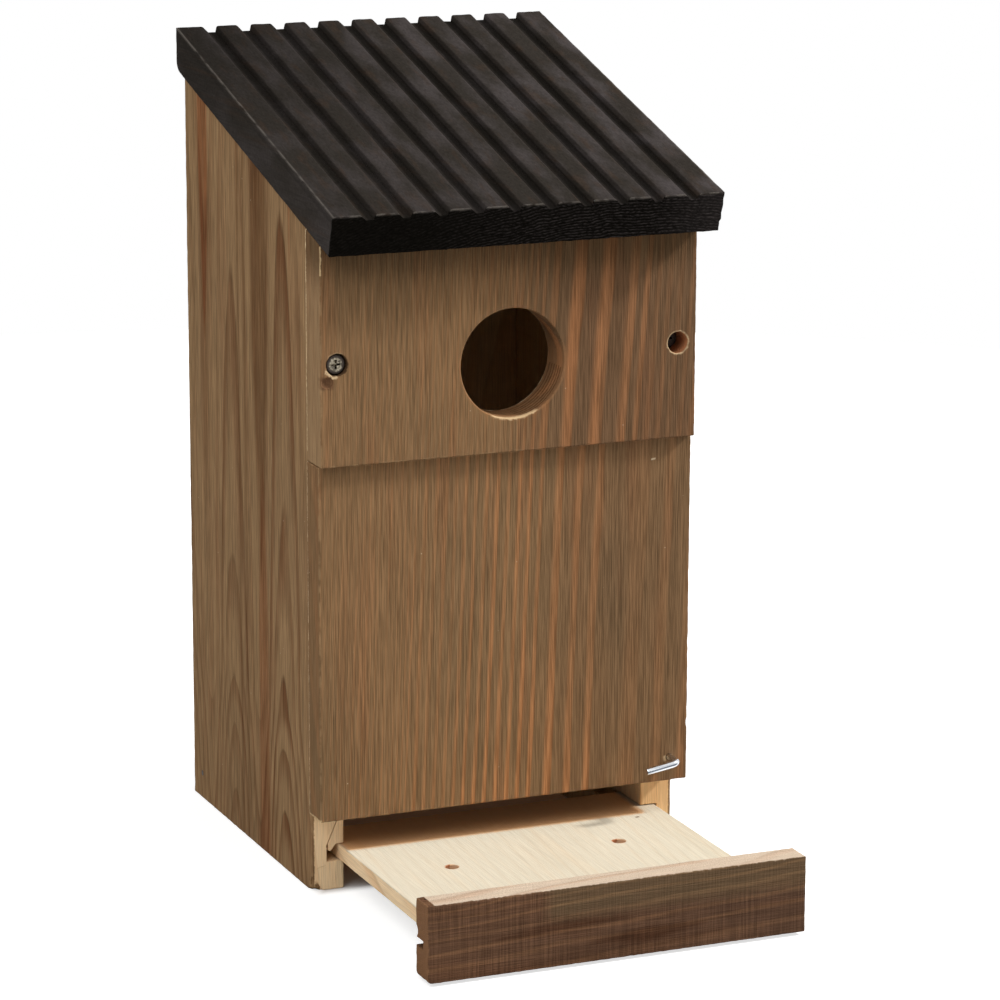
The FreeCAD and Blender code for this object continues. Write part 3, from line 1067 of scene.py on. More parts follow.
@dataclass(frozen=True)
class RoofFinish(Finish):
    """Charcoal paint on a ribbed board, thin on the ribs, with painted shade in the grooves and a painted
    sheen across the top.
    """

    slope: float
    front: float
    top_at_front: float
    left: float
    right: float
    paint: Colour = tint(43, 39, 35)
    # Dust, which is laid on more to the right, where it is partly a painted sheen.
    dust_and_sheen: Colour = tint(63, 58, 57)
    thin: Colour = tint(56, 44, 35)
    # Painted shade in the groove floors.
    groove: Colour = tint(22, 20, 17)
    end: Colour = tint(15, 13, 10)
    # Worn paint along the arrises, partly a painted highlight.
    worn: Colour = tint(110, 104, 97)
    ring_middle: float = 35.0
    ring_spacing: float = 0.9
    relief: float = 0.18
    rough: float = 0.8
    fibre_sheen: float = 0.25
    gloss: float = 0.005

    def draw(self, sheet: NodeSheet) -> None:
        """Draws the roof's nodes.

        Args:
            sheet: the node sheet.
        """
        x, y, z = sheet.axes(sheet.place())
        below = (y - self.front) * self.slope + self.top_at_front - z
        fibre = sheet.stretched(x, z, y, 0.5, 14.0, 21.0, 3.0)
        cloud = sheet.stretched(x, z, y, 9.0, 30.0, 4.0, 4.0)
        band = sheet.stretched(x, z, y, 3.0, 60.0, 8.0, 3.0)
        fleck = sheet.noise(sheet.vector(x * 1.1, y * 0.7, z * 1.1), 4.0, 0.65)
        across = (x - self.left) * (1.0 / (self.right - self.left))
        # Dust in clouds, stronger to the right, where it is partly a painted sheen.
        colour = sheet.blend(self.paint, self.dust_and_sheen, cloud.ease(0.4, 0.7) * (across * 0.45 + 0.55))
        colour = sheet.blend(colour, self.thin, band.ease(0.5, 0.75) * 0.5)
        # Painted light: the top is lighter to the right and darker towards the back left, as the lamps'
        # sheen falls on it, and the left side face is lighter.
        back = (y - self.front).ease(30.0, 130.0)
        shade = 0.86 + across * 0.2 - back * (1.0 - across.ease(0.05, 0.6)) * 0.3
        on_side = (1.0 - (x - self.left).ease(0.2, 0.6)) * below.ease(0.4, 0.8)
        shade = shade + on_side * 0.35
        colour = sheet.vector_sum("SCALE", colour, Scale=(fibre * 0.5 + fleck * 0.8 + 0.35) * shade)
        # Painted shade: the groove floors are darker, less so at the left.
        on_top = 1.0 - below.ease(2.2, 2.6)
        sunk = below.ease(0.9, 1.5) * on_top * (across.ease(0.1, 0.5) * 0.4 + 0.25)
        colour = sheet.blend(colour, self.groove, sunk)
        # Worn, lighter paint along the arrises, partly a painted highlight.
        rim = (x - self.left).least(self.right - x)
        rub = sheet.noise(sheet.vector(x * 0.4, y * 0.12, z * 0.4), 3.0)
        lip = rim.least(y - self.front)
        edge = (1.0 - lip.most(below).ease(0.15, 0.75)) * rub.ease(0.34, 0.56)
        colour = sheet.blend(colour, self.worn, edge * 0.42)
        side = x - self.ring_middle
        radius = (side * side + z * z) ** 0.5 + (cloud - 0.5) * 3.0
        turns = radius * (1.0 / self.ring_spacing)
        late = (turns - turns.whole()).ease(0.2, 0.8)
        on_end = 1.0 - (y - self.front - (self.top_at_front - z) * self.slope).ease(0.5, 1.0)
        pores = sheet.noise(sheet.vector(x * 0.9, y * 0.4, z * 2.6), 4.0, 0.65)
        dry = late * pores.ease(0.35, 0.65) * (across.ease(0.15, 0.6) * 0.55 + 0.08)
        end_colour = sheet.blend(self.end, self.dust_and_sheen, dry + across.ease(0.8, 1.0) * 0.3)
        end_colour = sheet.vector_sum("SCALE", end_colour, Scale=pores * 1.6 + 0.15)
        colour = sheet.blend(colour, end_colour, on_end * below.ease(0.2, 0.7))
        height = fibre * 0.5 + cloud * 0.4 + fleck * 0.5
        height = height + on_end * (late * (across.ease(0.1, 0.4) * 1.1 + 0.5) + pores * 0.6)
        sheet.surface(Base_Color=colour, Roughness=self.rough - fibre * self.fibre_sheen,
                      Specular_IOR_Level=self.gloss, Normal=sheet.bump(height, self.relief))


@dataclass(frozen=True)
class MetalFinish(Finish):
    """Plated or bare steel, drawn out along its length and a little dirty, with painted shade outside a disc
    and a painted dark reflection along a line where these are given.
    """

    bright: Colour
    dull: Colour
    smooth: float
    rough: float
    # The colour of grime, and of the painted shade outside the unshaded disc.
    dirt_and_shade: Colour
    dirt_show: float = 0.0
    metal: float = 1.0
    drawn: bool = False
    # Painted shade: outside this disc the metal takes the full grime colour, as shade in a recess round a
    # screw head.
    unshaded_disc: Patch | None = None
    # Painted reflection: a dark streak along a line on the metal's front, standing for a dark reflection.
    line: tuple[Vector, Vector, float] | None = None
    painted_reflection_look: Colour = tint(58, 66, 82)
    relief: float = 0.02
    relief_show: float = 0.4

    def draw(self, sheet: NodeSheet) -> None:
        """Draws the metal's nodes.

        Args:
            sheet: the node sheet.
        """
        x, y, z = sheet.axes(sheet.place())
        if self.drawn:
            cloud = sheet.stretched(z, y, x, 0.5, 9.0)
            scuff = sheet.stretched(z, y, x, 0.12, 4.0)
        else:
            cloud = sheet.noise(sheet.place(), 4.0, 0.6, scale=1.6)
            scuff = sheet.noise(sheet.place(), 3.0, 0.6, scale=6.0)
        # Grime at random, and painted shade outside the unshaded disc.
        grime_and_shade = sheet.noise(sheet.place(), 3.0, 0.6, scale=0.9).ease(0.5, 0.66) * self.dirt_show
        if self.unshaded_disc:
            grime_and_shade = grime_and_shade.most(1.0 - self.unshaded_disc.mask(sheet))
        colour = sheet.blend(self.bright, self.dull, cloud.ease(0.35, 0.7))
        # Painted reflection: a dark streak along the line, on the front of the wire.
        if self.line:
            start, across, half = self.line
            away = sheet.vector_sum("SUBTRACT", sheet.place(), tuple(start))
            away = sheet.vector_sum("DOT_PRODUCT", away, tuple(across), "Value").size()
            front = 1.0 - (y - start.y).ease(-0.8, -0.3)
            shown = (1.0 - away.ease(0.4 * half, half)) * front
            colour = sheet.blend(colour, self.painted_reflection_look, shown * 0.9)
        colour = sheet.blend(colour, self.dirt_and_shade, grime_and_shade)
        sheet.surface(Base_Color=colour, Metallic=self.metal - grime_and_shade * (0.8 * self.metal),
                      Roughness=self.smooth + cloud * (self.rough - self.smooth) + grime_and_shade * 0.3,
                      Normal=sheet.bump(scuff, self.relief, self.relief_show))


STAINED = Timber(early=tint(130, 101, 71), late=tint(170, 118, 77), grey=tint(115, 92, 66),
                 warm=tint(137, 94, 63), ring_show=0.85, fibre_show=0.42)
SHADED = Timber(early=tint(103, 78, 57), late=tint(160, 109, 72), grey=tint(92, 73, 56),
                warm=tint(106, 72, 51), ring_show=0.85, fibre_show=0.42)
# Painted shadow: a darker stain that stands for the roof's shadow on the top of the upper front board.
PAINTED_ROOF_SHADOW = Timber(early=tint(92, 71, 49), late=tint(114, 78, 50), grey=tint(82, 66, 47),
               warm=tint(93, 65, 44), ring_show=0.85, fibre_show=0.42)
STRIP = Timber(early=tint(158, 128, 94), late=tint(134, 100, 70), grey=tint(146, 118, 88),
               warm=tint(156, 118, 84), ring_show=0.5, fibre_show=0.35)
SIDE_STAINED = Timber(early=tint(151, 121, 87), late=tint(112, 76, 50), grey=tint(136, 108, 78),
                      warm=tint(142, 104, 73), ring_show=0.9, warm_show=0.4, grey_show=0.5, fibre_show=0.42)
BARE = Timber(early=tint(249, 217, 173), late=tint(226, 172, 118), grey=tint(238, 204, 160),
              warm=tint(248, 206, 156), ring_show=0.7, fibre_show=0.16)
AMBER = Timber(early=tint(240, 196, 142), late=tint(214, 150, 92), grey=tint(230, 184, 130),
               warm=tint(238, 182, 122), ring_show=0.7, fibre_show=0.16)
INSIDE = Timber(early=tint(246, 218, 180), late=tint(228, 182, 134), grey=tint(238, 206, 164),
                warm=tint(244, 204, 156), ring_show=0.6, fibre_show=0.12)
PALE = Timber(early=tint(208, 198, 177), late=tint(203, 182, 153), grey=tint(202, 190, 167),
              warm=tint(211, 196, 171), ring_show=0.3, fibre_show=0.08, grey_show=0.5, warm_show=0.5)
UMBER = Timber(early=tint(94, 68, 51), late=tint(128, 93, 66), grey=tint(80, 60, 48),
               warm=tint(106, 73, 52), ring_show=0.7, fibre_show=0.24, warm_show=0.5)
OLIVE = Timber(early=tint(98, 80, 59), late=tint(134, 106, 76), grey=tint(90, 75, 57),
               warm=tint(106, 80, 57), ring_show=0.7, fibre_show=0.24)
PINK_EDGE = Timber(early=tint(203, 183, 161), late=tint(188, 150, 122), grey=tint(197, 174, 152),
                   warm=tint(205, 178, 152), ring_show=0.6, fibre_show=0.16)
HEART: Colour = (0.55, 0.46, 0.41, 1.0)
RESIN: Colour = (0.78, 0.53, 0.45, 1.0)
TORN = tint(214, 186, 146)
# Painted shade: the dark of the left screw's counterbore round its head.
PAINTED_RECESS_SHADE = tint(52, 36, 26)
ABOVE_ALL = 300.0


@dataclass
class SideBoard:
    """A side of the box: a board with a sloped top and a groove for the floor."""

    hand: Hand
    front_height: float = 195.5
    groove_low: float = 8.55
    groove_high: float = 13.85
    groove_depth: float = 5.4
    arris: float = 0.45
    divisions: Triple = (1.0, 1.6, 2.4)
    skin: tuple[float, float] = (0.3, 1.6)
    worn_corner: float = 2.6
    stain_wrap: float = 1.0
    flap: tuple[tuple[float, float], tuple[float, float]] = ((-52.3, -49.4), (11.9, 14.6))
    cracks: tuple[tuple[tuple[float, float], tuple[float, float]], ...] = (
        ((-53.2, 13.0), (-49.6, 21.0)), ((-57.4, 6.5), (-53.4, 7.3)))
    crack_width: float = 0.3

    @property
    def node(self) -> str:
        """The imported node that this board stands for."""
        return f"{self.hand.name.lower()}_side_panel"

    def build(self) -> None:
        """Saws, grooves and dresses the board."""
        low, high = node_box(self.node)
        board = Workpiece.board(f"{self.hand.name.lower()}_side_board", low, high, self.front_height,
                                self.arris, self.divisions)
        inner = high.x if self.hand is Hand.LEFT else low.x
        reach = sorted((inner + self.hand.value * self.groove_depth, inner - self.hand.value))
        plough = Workpiece.block("plough", (reach[0], low.y - 1.0, self.groove_low),
                                 (reach[1], high.y + 1.0, self.groove_high))
        plough.divide(Axis.Y.unit, self.divisions[1])
        plough.divide(Axis.X.unit, self.divisions[0])
        if self.hand is Hand.LEFT:
            plough.carve(self.splinter(low.y))
        board.carve(plough)
        outer = low.x if self.hand is Hand.LEFT else high.x
        corner = Vector((outer, low.y, low.z))
        board.pick_verts(lambda p: (p - corner).length < self.worn_corner)
        board.move((-0.5 * self.hand.value, 0.6, 0.7))
        board.roughen(*self.skin)
        if self.hand is Hand.LEFT:
            for start, end in self.cracks:
                board.carve(self.crack(start, end, low.y))
        board.fit(Body.BOX, "stained_pine", self.finish(low, high), self.node)

    def splinter(self, front: float) -> Workpiece:
        """Shapes the torn flap that the plough left at the mouth of the groove.

        Args:
            front: where the board's front edge is.

        Returns:
            The flap.
        """
        (left, right), (low, high) = self.flap
        flap = Workpiece.block("splinter", (left, front - 2.0, low), (right, front + 1.5, high))
        flap.pick_verts(lambda p: p.x > right - 0.1 and p.z < low + 0.1)
        flap.move((0.75 * (left - right), 0.0, 0.0))
        return flap

    def crack(self, start: tuple[float, float], end: tuple[float, float], front: float) -> Workpiece:
        """Shapes the blade that opens a crack in the board's front edge.

        Args:
            start: its lower end, across and up.
            end: its upper end.
            front: where the board's front edge is.

        Returns:
            The blade.
        """
        blade = Workpiece.block("crack_blade", (start[0], front - 1.0, start[1]),
                                (start[0] + self.crack_width, front + 1.3, start[1] + self.crack_width))
        blade.pick_verts(lambda p: p.z > start[1] + 0.5 * self.crack_width)
        blade.move((end[0] - start[0], 0.0, end[1] - start[1]))
        return blade

    def finish(self, low: Vector, high: Vector) -> WoodFinish:
        """Gives the board's finish: stained outside, bare on its front edge and inside.

        Args:
            low: the board's lowest corner.
            high: its highest corner.

        Returns:
            The finish.
        """
        side = self.hand.value
        outer = low.x if self.hand is Hand.LEFT else high.x
        inner = high.x if self.hand is Hand.LEFT else low.x
        face = sorted((outer - side * self.stain_wrap, inner - side))
        wall = sorted((inner - side, inner + side * 7.0))
        bare_front = Patch((face[0], low.y - 2.0, -1.0), (face[1], low.y + 0.25, ABOVE_ALL),
                           BARE if self.hand is Hand.LEFT else AMBER, 0.35, 0.35)
        bare_inside = Patch((wall[0], low.y + 0.6, -1.0), (wall[1], high.y + 2.0, ABOVE_ALL), INSIDE,
                            0.4, 0.4)
        sawing = Sawing(
            Axis.Z, Axis.Y, Axis.X, middle=100.0, reach=120.0, wander=4.0, ripple=0.16, depth=0.2,
            seed=31.0 + 6.0 * side, late=(0.3, 0.9), apart=44.0, valley=-57.0,
            rows=((-110.0, 150.0), (15.0, 150.0)),
            shows=((-101.0, 0.5), (-79.0, 1.3), (-57.0, 0.7), (-35.0, 0.9), (0.0, 0.6)),
            rises=((0.0, 1.6), (13.0, 2.1), (33.0, 2.85), (47.0, 3.65), (88.0, 4.22), (175.0, 4.88),
                   (260.0, 5.7)),
            bends=((0.0, 2.25), (90.0, 1.2), (200.0, 0.8)))
        bands = (
            Band(-60.0, 7.5, 70.0, 420.0, HEART, 1.0, 90.0, 2.0),
            Band(-61.5, 4.5, -120.0, 130.0, RESIN, 0.8),
            Band(-11.5, 4.5, 140.0, 420.0, RESIN, 1.1),
            Band(-41.5, 0.8, -80.0, 400.0, HEART, 0.8),
            Band(-46.5, 1.0, -80.0, 400.0, HEART, 0.7),
            Band(-86.0, 1.0, 178.0, 400.0, RESIN, 0.9, 30.0),
        )
        return WoodFinish(SIDE_STAINED, sawing, (bare_inside, bare_front), bands, (tuple(low), tuple(high)),
                          edge_show=0.35, speck_show=0.5)


@dataclass
class BackBoard:
    """The back of the box, let in between the sides, with its hanging hole."""

    node: str = "back_panel"
    inner_height: float = 222.3
    hole_height: float = 206.0
    hole_radius: float = 3.0
    arris: float = 0.4
    divisions: Triple = (1.6, 1.0, 2.4)
    skin: tuple[float, float] = (0.25, 1.4)

    def build(self) -> None:
        """Saws, drills and dresses the board."""
        low, high = node_box(self.node)
        board = Workpiece.board("back_board", low, high, self.inner_height, self.arris, self.divisions)
        board.carve(Workpiece.drill((0.0, high.y, self.hole_height), (0.0, low.y - 3.0, self.hole_height),
                                    self.hole_radius, sides=48))
        board.roughen(*self.skin)
        board.fit(Body.BOX, "stained_pine", self.finish(low, high), self.node)

    def finish(self, low: Vector, high: Vector) -> WoodFinish:
        """Gives the board's finish: stained outside, bare inside.

        Args:
            low: the board's lowest corner.
            high: its highest corner.

        Returns:
            The finish.
        """
        sawing = Sawing(
            Axis.Z, Axis.X, Axis.Y, middle=110.0, reach=110.0, wander=3.0, depth=0.2, seed=52.0,
            late=(0.3, 0.8), apart=84.0, valley=6.0, rows=((-60.0, 30.0), (60.0, 30.0)),
            shows=((-40.0, 0.7), (0.0, 1.0), (40.0, 0.7)), rises=((0.0, 0.0), (240.0, 4.8)),
            bends=((0.0, 2.6),))
        inside = Patch((low.x - 1.0, low.y - 1.0, -1.0), (high.x + 1.0, low.y + 0.5, ABOVE_ALL), INSIDE,
                       0.4, 0.3)
        rim = Patch((-1.0, high.y, self.hole_height - 1.0), (1.0, high.y, self.hole_height + 1.0), TORN,
                    3.4, 0.7, 0.7)
        return WoodFinish(STAINED, sawing, (inside, rim), (), (tuple(low), tuple(high)), edge_show=0.4)


@dataclass
class UpperFront:
    """The thick upper front board with the entrance and the two screw holes."""

    node: str = "upper_front_panel"
    front_height: float = 192.2
    entrance: tuple[float, float] = (0.4, 154.7)
    entrance_radius: float = 16.0
    left_screw: tuple[float, float] = (-53.15, 158.2)
    right_screw: tuple[float, float] = (52.4, 156.9)
    counterbore_radius: float = 3.2
    left_depth: float = 3.6
    right_depth: float = 9.6
    tool_marks: tuple[float, ...] = (1.9, 3.2, 4.7, 6.4, 7.9, 9.6)
    arris: float = 0.35
    divisions: Triple = (1.2, 0.9, 1.4)
    skin: tuple[float, float] = (0.28, 1.1)

    def build(self) -> None:
        """Saws, drills and dresses the board."""
        low, high = node_box(self.node)
        board = Workpiece.board("upper_front_board", low, high, self.front_height, self.arris,
                                self.divisions)
        for (across, up), end, radius, sides in (
                (self.entrance, high.y + 2.0, self.entrance_radius, 96),
                (self.left_screw, low.y + self.left_depth, self.counterbore_radius, 40),
                (self.right_screw, low.y + self.right_depth, self.counterbore_radius, 40)):
            board.carve(Workpiece.drill((across, low.y, up), (across, end, up), radius, sides=sides))
        board.roughen(*self.skin)
        chip = (self.left_screw[0] - 3.0, low.y - 0.35, self.left_screw[1] - 4.9)
        board.carve(Workpiece.pebble("chip_cutter", chip, (2.0, 1.0, 1.8)))
        board.fit(Body.BOX, "stained_pine", self.finish(low, high), self.node)

    def finish(self, low: Vector, high: Vector) -> WoodFinish:
        """Gives the board's finish.

        Args:
            low: the board's lowest corner.
            high: its highest corner.

        Returns:
            The finish.
        """
        sawing = Sawing(
            Axis.Z, Axis.X, Axis.Y, lean=0.08, middle=160.0, reach=60.0, wander=0.6, ripple=0.08, seed=3.0,
            rows=((-64.0, 1.6875), (-10.0, 2.044), (6.35, 2.625), (11.6, 7.7), (19.3, 9.4), (28.7, 8.5),
                  (37.2, 4.0), (41.2, 3.6), (66.0, 3.6)),
            shows=((-58.0, 0.22), (-20.0, 0.32), (4.0, 0.45), (10.0, 0.6), (13.0, 1.5), (26.0, 1.4),
                   (31.0, 1.0), (39.0, 0.8), (43.0, 0.45), (58.0, 0.32)),
            late=(0.38, 0.68))
        left, right = self.left_screw, self.right_screw
        screw_hole = (left[0], 0.0, left[1])
        hole = (self.entrance[0], 0.0, self.entrance[1])
        patches = (
            Patch((24.0, low.y - 20.0, 100.0), (90.0, high.y + 20.0, 220.0), SHADED, 34.0, 2.0, 0.85),
            Patch((low.x - 1.0, low.y + 0.4, 100.0), (low.x + 0.3, high.y, 220.0), STRIP, 0.3, 0.3, 0.9),
            Patch((left[0] - 4.4, low.y, left[1] - 6.2), (left[0] - 1.6, low.y + 1.0, left[1] - 3.8),
                  tint(84, 56, 42), 1.1, 0.6, 0.6),
            RingPatch((left[0] - 3.6, low.y - 1.0, left[1] - 4.4),
                      (left[0] + 0.2, low.y + 1.0, left[1] - 1.7), TORN,
                      0.5, 0.9, 0.95, screw_hole, Axis.Y, 3.3, 3.9),
            RingPatch((left[0] - 2.4, low.y - 1.0, left[1] + 1.6),
                      (left[0] + 1.4, low.y + 1.0, left[1] + 4.4), TORN,
                      0.5, 0.5, 0.5, screw_hole, Axis.Y, 3.2, 3.5),
            # Painted shadow of the roof along the top of the upper front board.
            Patch((low.x - 2.0, low.y - 2.0, 191.0), (high.x + 2.0, high.y - 0.6, 230.0), PAINTED_ROOF_SHADOW,
                  16.0, 1.5, 0.85),
            # Painted shadow of the roof's right overhang.
            Patch((14.0, low.y - 2.0, 186.0), (48.0, low.y + 1.0, 230.0), PAINTED_ROOF_SHADOW, 9.0, 1.5, 0.55),
            # Painted shade in the left counterbore, round the screw head.
            self.ring(left, 0.0, 3.4, (low.y + 0.2, low.y + 6.0), PAINTED_RECESS_SHADE, 0.8),
            self.ring(right, 2.9, 3.5, (low.y - 0.4, low.y + 0.2), TORN, 0.65),
            self.ring(right, 0.0, 3.6, (low.y + 0.6, high.y), tint(178, 122, 84), 1.0),
            # Bare wood colour on the entrance bore's lower half, partly painted light where the bore's
            # bottom catches light from above.
            RingPatch((-20.0, low.y + 1.0, 135.0), (20.0, high.y - 0.4, 156.0), tint(164, 118, 80),
                      6.0, 0.4, 0.4, hole, Axis.Y, 15.2, 16.6),
            RingPatch((-5.0, low.y - 0.5, 135.0), (7.0, low.y + 0.5, 140.2), tint(226, 196, 152),
                      2.0, 0.7, 0.7, hole, Axis.Y, 15.7, 16.4),
            *(RingPatch((3.0, low.y + depth, 135.0), (20.0, low.y + depth + 0.3, 152.0), tint(78, 52, 34),
                        0.35, 0.5, 0.65, hole, Axis.Y, 15.2, 16.6) for depth in self.tool_marks),
            Patch((low.x, low.y, 184.0), (low.x + 0.1, low.y, 192.0), tint(214, 186, 142), 0.45, 0.4, 0.8),
            Patch((low.x - 1.0, high.y - 0.05, 0.0), (high.x + 1.0, high.y + 1.0, ABOVE_ALL), INSIDE,
                  0.12, 0.1),
            Patch((low.x - 0.2, high.y - 0.3, 132.0), (low.x + 0.2, high.y, 196.0), tint(240, 214, 172),
                  0.6, 0.5, 0.9),
        )
        return WoodFinish(STAINED, sawing, patches, (), (tuple(low), tuple(high)), edge_show=0.4,
                          speck_show=0.3)

    @staticmethod
    def ring(hole: tuple[float, float], inner: float, outer: float, reach: tuple[float, float],
             look: Colour, amount: float) -> RingPatch:
        """Gives a patch round one of the screw holes.

        Args:
            hole: the hole's middle, across and up.
            inner: the patch's inner radius.
            outer: its outer radius.
            reach: where it starts and ends in depth.
            look: its colour.
            amount: how much of it shows.

        Returns:
            The patch.
        """
        across, up = hole
        return RingPatch((across - 9.0, reach[0], up - 9.0), (across + 9.0, reach[1], up + 9.0), look,
                         0.4, 0.5, amount, (across, 0.0, up), Axis.Y, inner, outer)


@dataclass
class LowerFront:
    """The thinner lower front board, with the hole that the hook turns in."""

    node: str = "lower_front_panel"
    hook: tuple[float, float] = (52.4, 31.0)
    hook_radius: float = 1.05
    arris: float = 0.35
    divisions: Triple = (1.2, 0.9, 1.8)
    skin: tuple[float, float] = (0.3, 0.9)
    dent: Triple = (58.7, -110.7, 41.0)
    dent_radii: Triple = (1.1, 1.4, 2.2)

    def build(self) -> None:
        """Saws, drills and dresses the board."""
        low, high = node_box(self.node)
        board = Workpiece.board("lower_front_board", low, high, high.z, self.arris, self.divisions)
        across, up = self.hook
        board.carve(Workpiece.drill((across, low.y, up), (across, high.y + 2.0, up), self.hook_radius,
                                    0.15, 24))
        board.roughen(*self.skin)
        board.carve(Workpiece.pebble("dent_cutter", self.dent, self.dent_radii))
        board.fit(Body.BOX, "stained_pine", self.finish(low, high), self.node)

    def finish(self, low: Vector, high: Vector) -> WoodFinish:
        """Gives the board's finish.

        Args:
            low: the board's lowest corner.
            high: its highest corner.

        Returns:
            The finish.
        """
        sawing = Sawing(
            Axis.Z, Axis.X, Axis.Y, lean=0.045, middle=76.0, reach=90.0, wander=0.8, ripple=0.12, seed=14.0,
            rows=((-64.0, 1.55), (-29.9, 3.15), (-11.0, 3.45), (9.7, 6.2), (28.3, 14.7), (43.0, 8.0),
                  (67.0, 8.0)),
            shows=((-58.0, 0.28), (-36.0, 0.38), (-30.0, 0.7), (-12.0, 0.95), (-2.0, 1.35), (12.0, 1.45),
                   (28.0, 1.2), (32.0, 0.5), (58.0, 0.4)),
            fades=((24.0, 1.6), (44.0, 1.1), (70.0, 0.85), (100.0, 0.75), (128.0, 0.8)), late=(0.46, 0.74))
        across, up = self.hook
        patches = (
            Patch((30.0, low.y - 20.0, 0.0), (90.0, high.y + 20.0, 220.0), SHADED, 34.0, 2.0, 0.4),
            Patch((low.x - 1.0, low.y - 1.0, low.z), (low.x + 0.1, high.y, low.z + 0.2), tint(226, 196, 150),
                  0.7, 0.5, 0.9),
            Patch((across - 1.4, low.y, up - 0.6), (across - 1.4, low.y, up), TORN, 0.9, 0.4, 0.7),
            Patch((45.6, low.y, 122.3), (46.6, low.y, 122.5), tint(214, 194, 162), 0.35, 0.3, 0.8),
            Patch((low.x - 1.0, high.y - 0.3, 0.0), (high.x + 1.0, high.y + 1.0, ABOVE_ALL), INSIDE,
                  0.3, 0.3),
        )
        return WoodFinish(STAINED, sawing, patches, (), (tuple(low), tuple(high)), edge_show=0.35,
                          speck_show=0.4)


@dataclass
class RibbedRoof:
    """The roof board: ten grooves run down its slope between eleven ribs."""

    node: str = "roof_board"
    slope: float = 0.2792
    rise: float = 12.5
    set_back: float = 3.24
    grooves: int = 10
    pitch: float = 11.0
    lips: tuple[float, float] = (8.3, 12.9)
    floor: tuple[float, float] = (10.2, 12.5)
    depth: float = 1.87
    rib_round: float = 0.5
    arris: float = 0.4
    worn_foot: float = 2.6
    divisions: Triple = (1.3, 2.2, 1.0)
    skin: tuple[float, float] = (0.22, 2.4)
    end_skin: tuple[float, float] = (0.5, 1.3)
    knock: float = 3.0
    knock_step: Triple = (-0.3, 0.1, 0.06)

    def build(self) -> None:
        """Saws, grooves, wears and dresses the board."""
        low, high = node_box(self.node)
        foot = Vector((low.x, low.y, low.z - self.slope * self.set_back))
        board = Workpiece.block("roof_ribbed_board", foot, (high.x, high.y, foot.z + self.rise))
        board.pick_verts(lambda p: p.y > high.y - 1.0)
        board.move((0.0, 0.0, self.slope * (high.y - low.y)))
        marks = [low.x + place + index * self.pitch for index in range(self.grooves)
                 for place in (self.lips[0], self.floor[0], self.floor[1], self.lips[1])]
        board.slice(Axis.X, marks)
        board.pick_verts(lambda p: self.on_top(p, foot) and self.in_groove(p.x - low.x))
        board.move((0.0, 0.0, -self.depth))
        board.pick_verts(lambda p: p.y < low.y + 0.1 and p.z < foot.z + 0.1)
        board.move((0.0, self.set_back, self.slope * self.set_back))
        board.pick_verts(lambda p: p.y < low.y + 0.1 and self.in_groove(p.x - low.x))
        board.move((0.0, self.depth * self.slope, self.depth * self.slope ** 2))
        board.pick_arrises(lambda a, b: abs(a.x - b.x) < 0.01 and self.on_top(a, foot)
                           and 1.0 < a.x - low.x < high.x - low.x - 1.0)
        board.bevel(self.rib_round, 3)
        board.pick_arrises(lambda a, b: min(a.y, b.y) > high.y - 0.1
                           and not self.on_top(a, foot, 4.0) and not self.on_top(b, foot, 4.0))
        board.bevel(self.worn_foot, 4)
        board.pick_arrises(lambda a, b: self.outline(a, foot, high) and self.outline(b, foot, high))
        board.bevel(self.arris, 2)
        board.divide(Vector((0.0, 1.0, self.slope)), self.divisions[1])
        board.divide(Axis.Z.unit, self.divisions[2])
        board.divide(Axis.X.unit, self.divisions[0])
        corner = Vector((high.x, low.y + self.set_back, low.z))
        board.pick_verts(lambda p: (p - corner).length < self.knock)
        board.move(self.knock_step)
        board.roughen(*self.skin)
        board.pick_verts(lambda p: self.from_end(p, foot) < 0.3)
        board.group(TORN_END)
        board.roughen(*self.end_skin, TORN_END, False)
        board.fit(Body.BOX, "charcoal_pine",
                  RoofFinish(self.slope, low.y, foot.z + self.rise, low.x, high.x), self.node)

    def on_top(self, place: Vector, foot: Vector, within: float = 0.2) -> bool:
        """Says whether a place is on the top plane.

        Args:
            place: the place.
            foot: where the board's lowest corner would be if its front end were upright.
            within: how far below the plane still counts.

        Returns:
            Whether it is.
        """
        return place.z > foot.z + self.rise + self.slope * (place.y - foot.y) - within

    def from_end(self, place: Vector, foot: Vector) -> float:
        """Gives how far a place is behind the front end, which is square to the slope."""
        return place.y - foot.y - self.slope * (foot.z + self.rise - place.z)

    def in_groove(self, across: float) -> bool:
        """Says whether a place across the roof is on a groove's floor.

        Args:
            across: how far the place is from the left side.

        Returns:
            Whether it is.
        """
        spot = (across - self.lips[0]) % self.pitch + self.lips[0]
        inside = self.lips[0] - 0.1 < across < self.grooves * self.pitch + self.lips[0]
        return inside and self.floor[0] - 0.1 < spot < self.floor[1] + 0.1

    def outline(self, place: Vector, foot: Vector, high: Vector) -> bool:
        """Says whether a place is on the roof's ends or long sides.

        Args:
            place: the place.
            foot: where the board's lowest corner would be if its front end were upright.
            high: the board's highest corner.

        Returns:
            Whether it is.
        """
        ends = min(abs(self.from_end(place, foot)), abs(place.y - high.y))
        sides = min(abs(place.x - foot.x), abs(place.x - high.x))
        return min(ends, sides) < 0.05


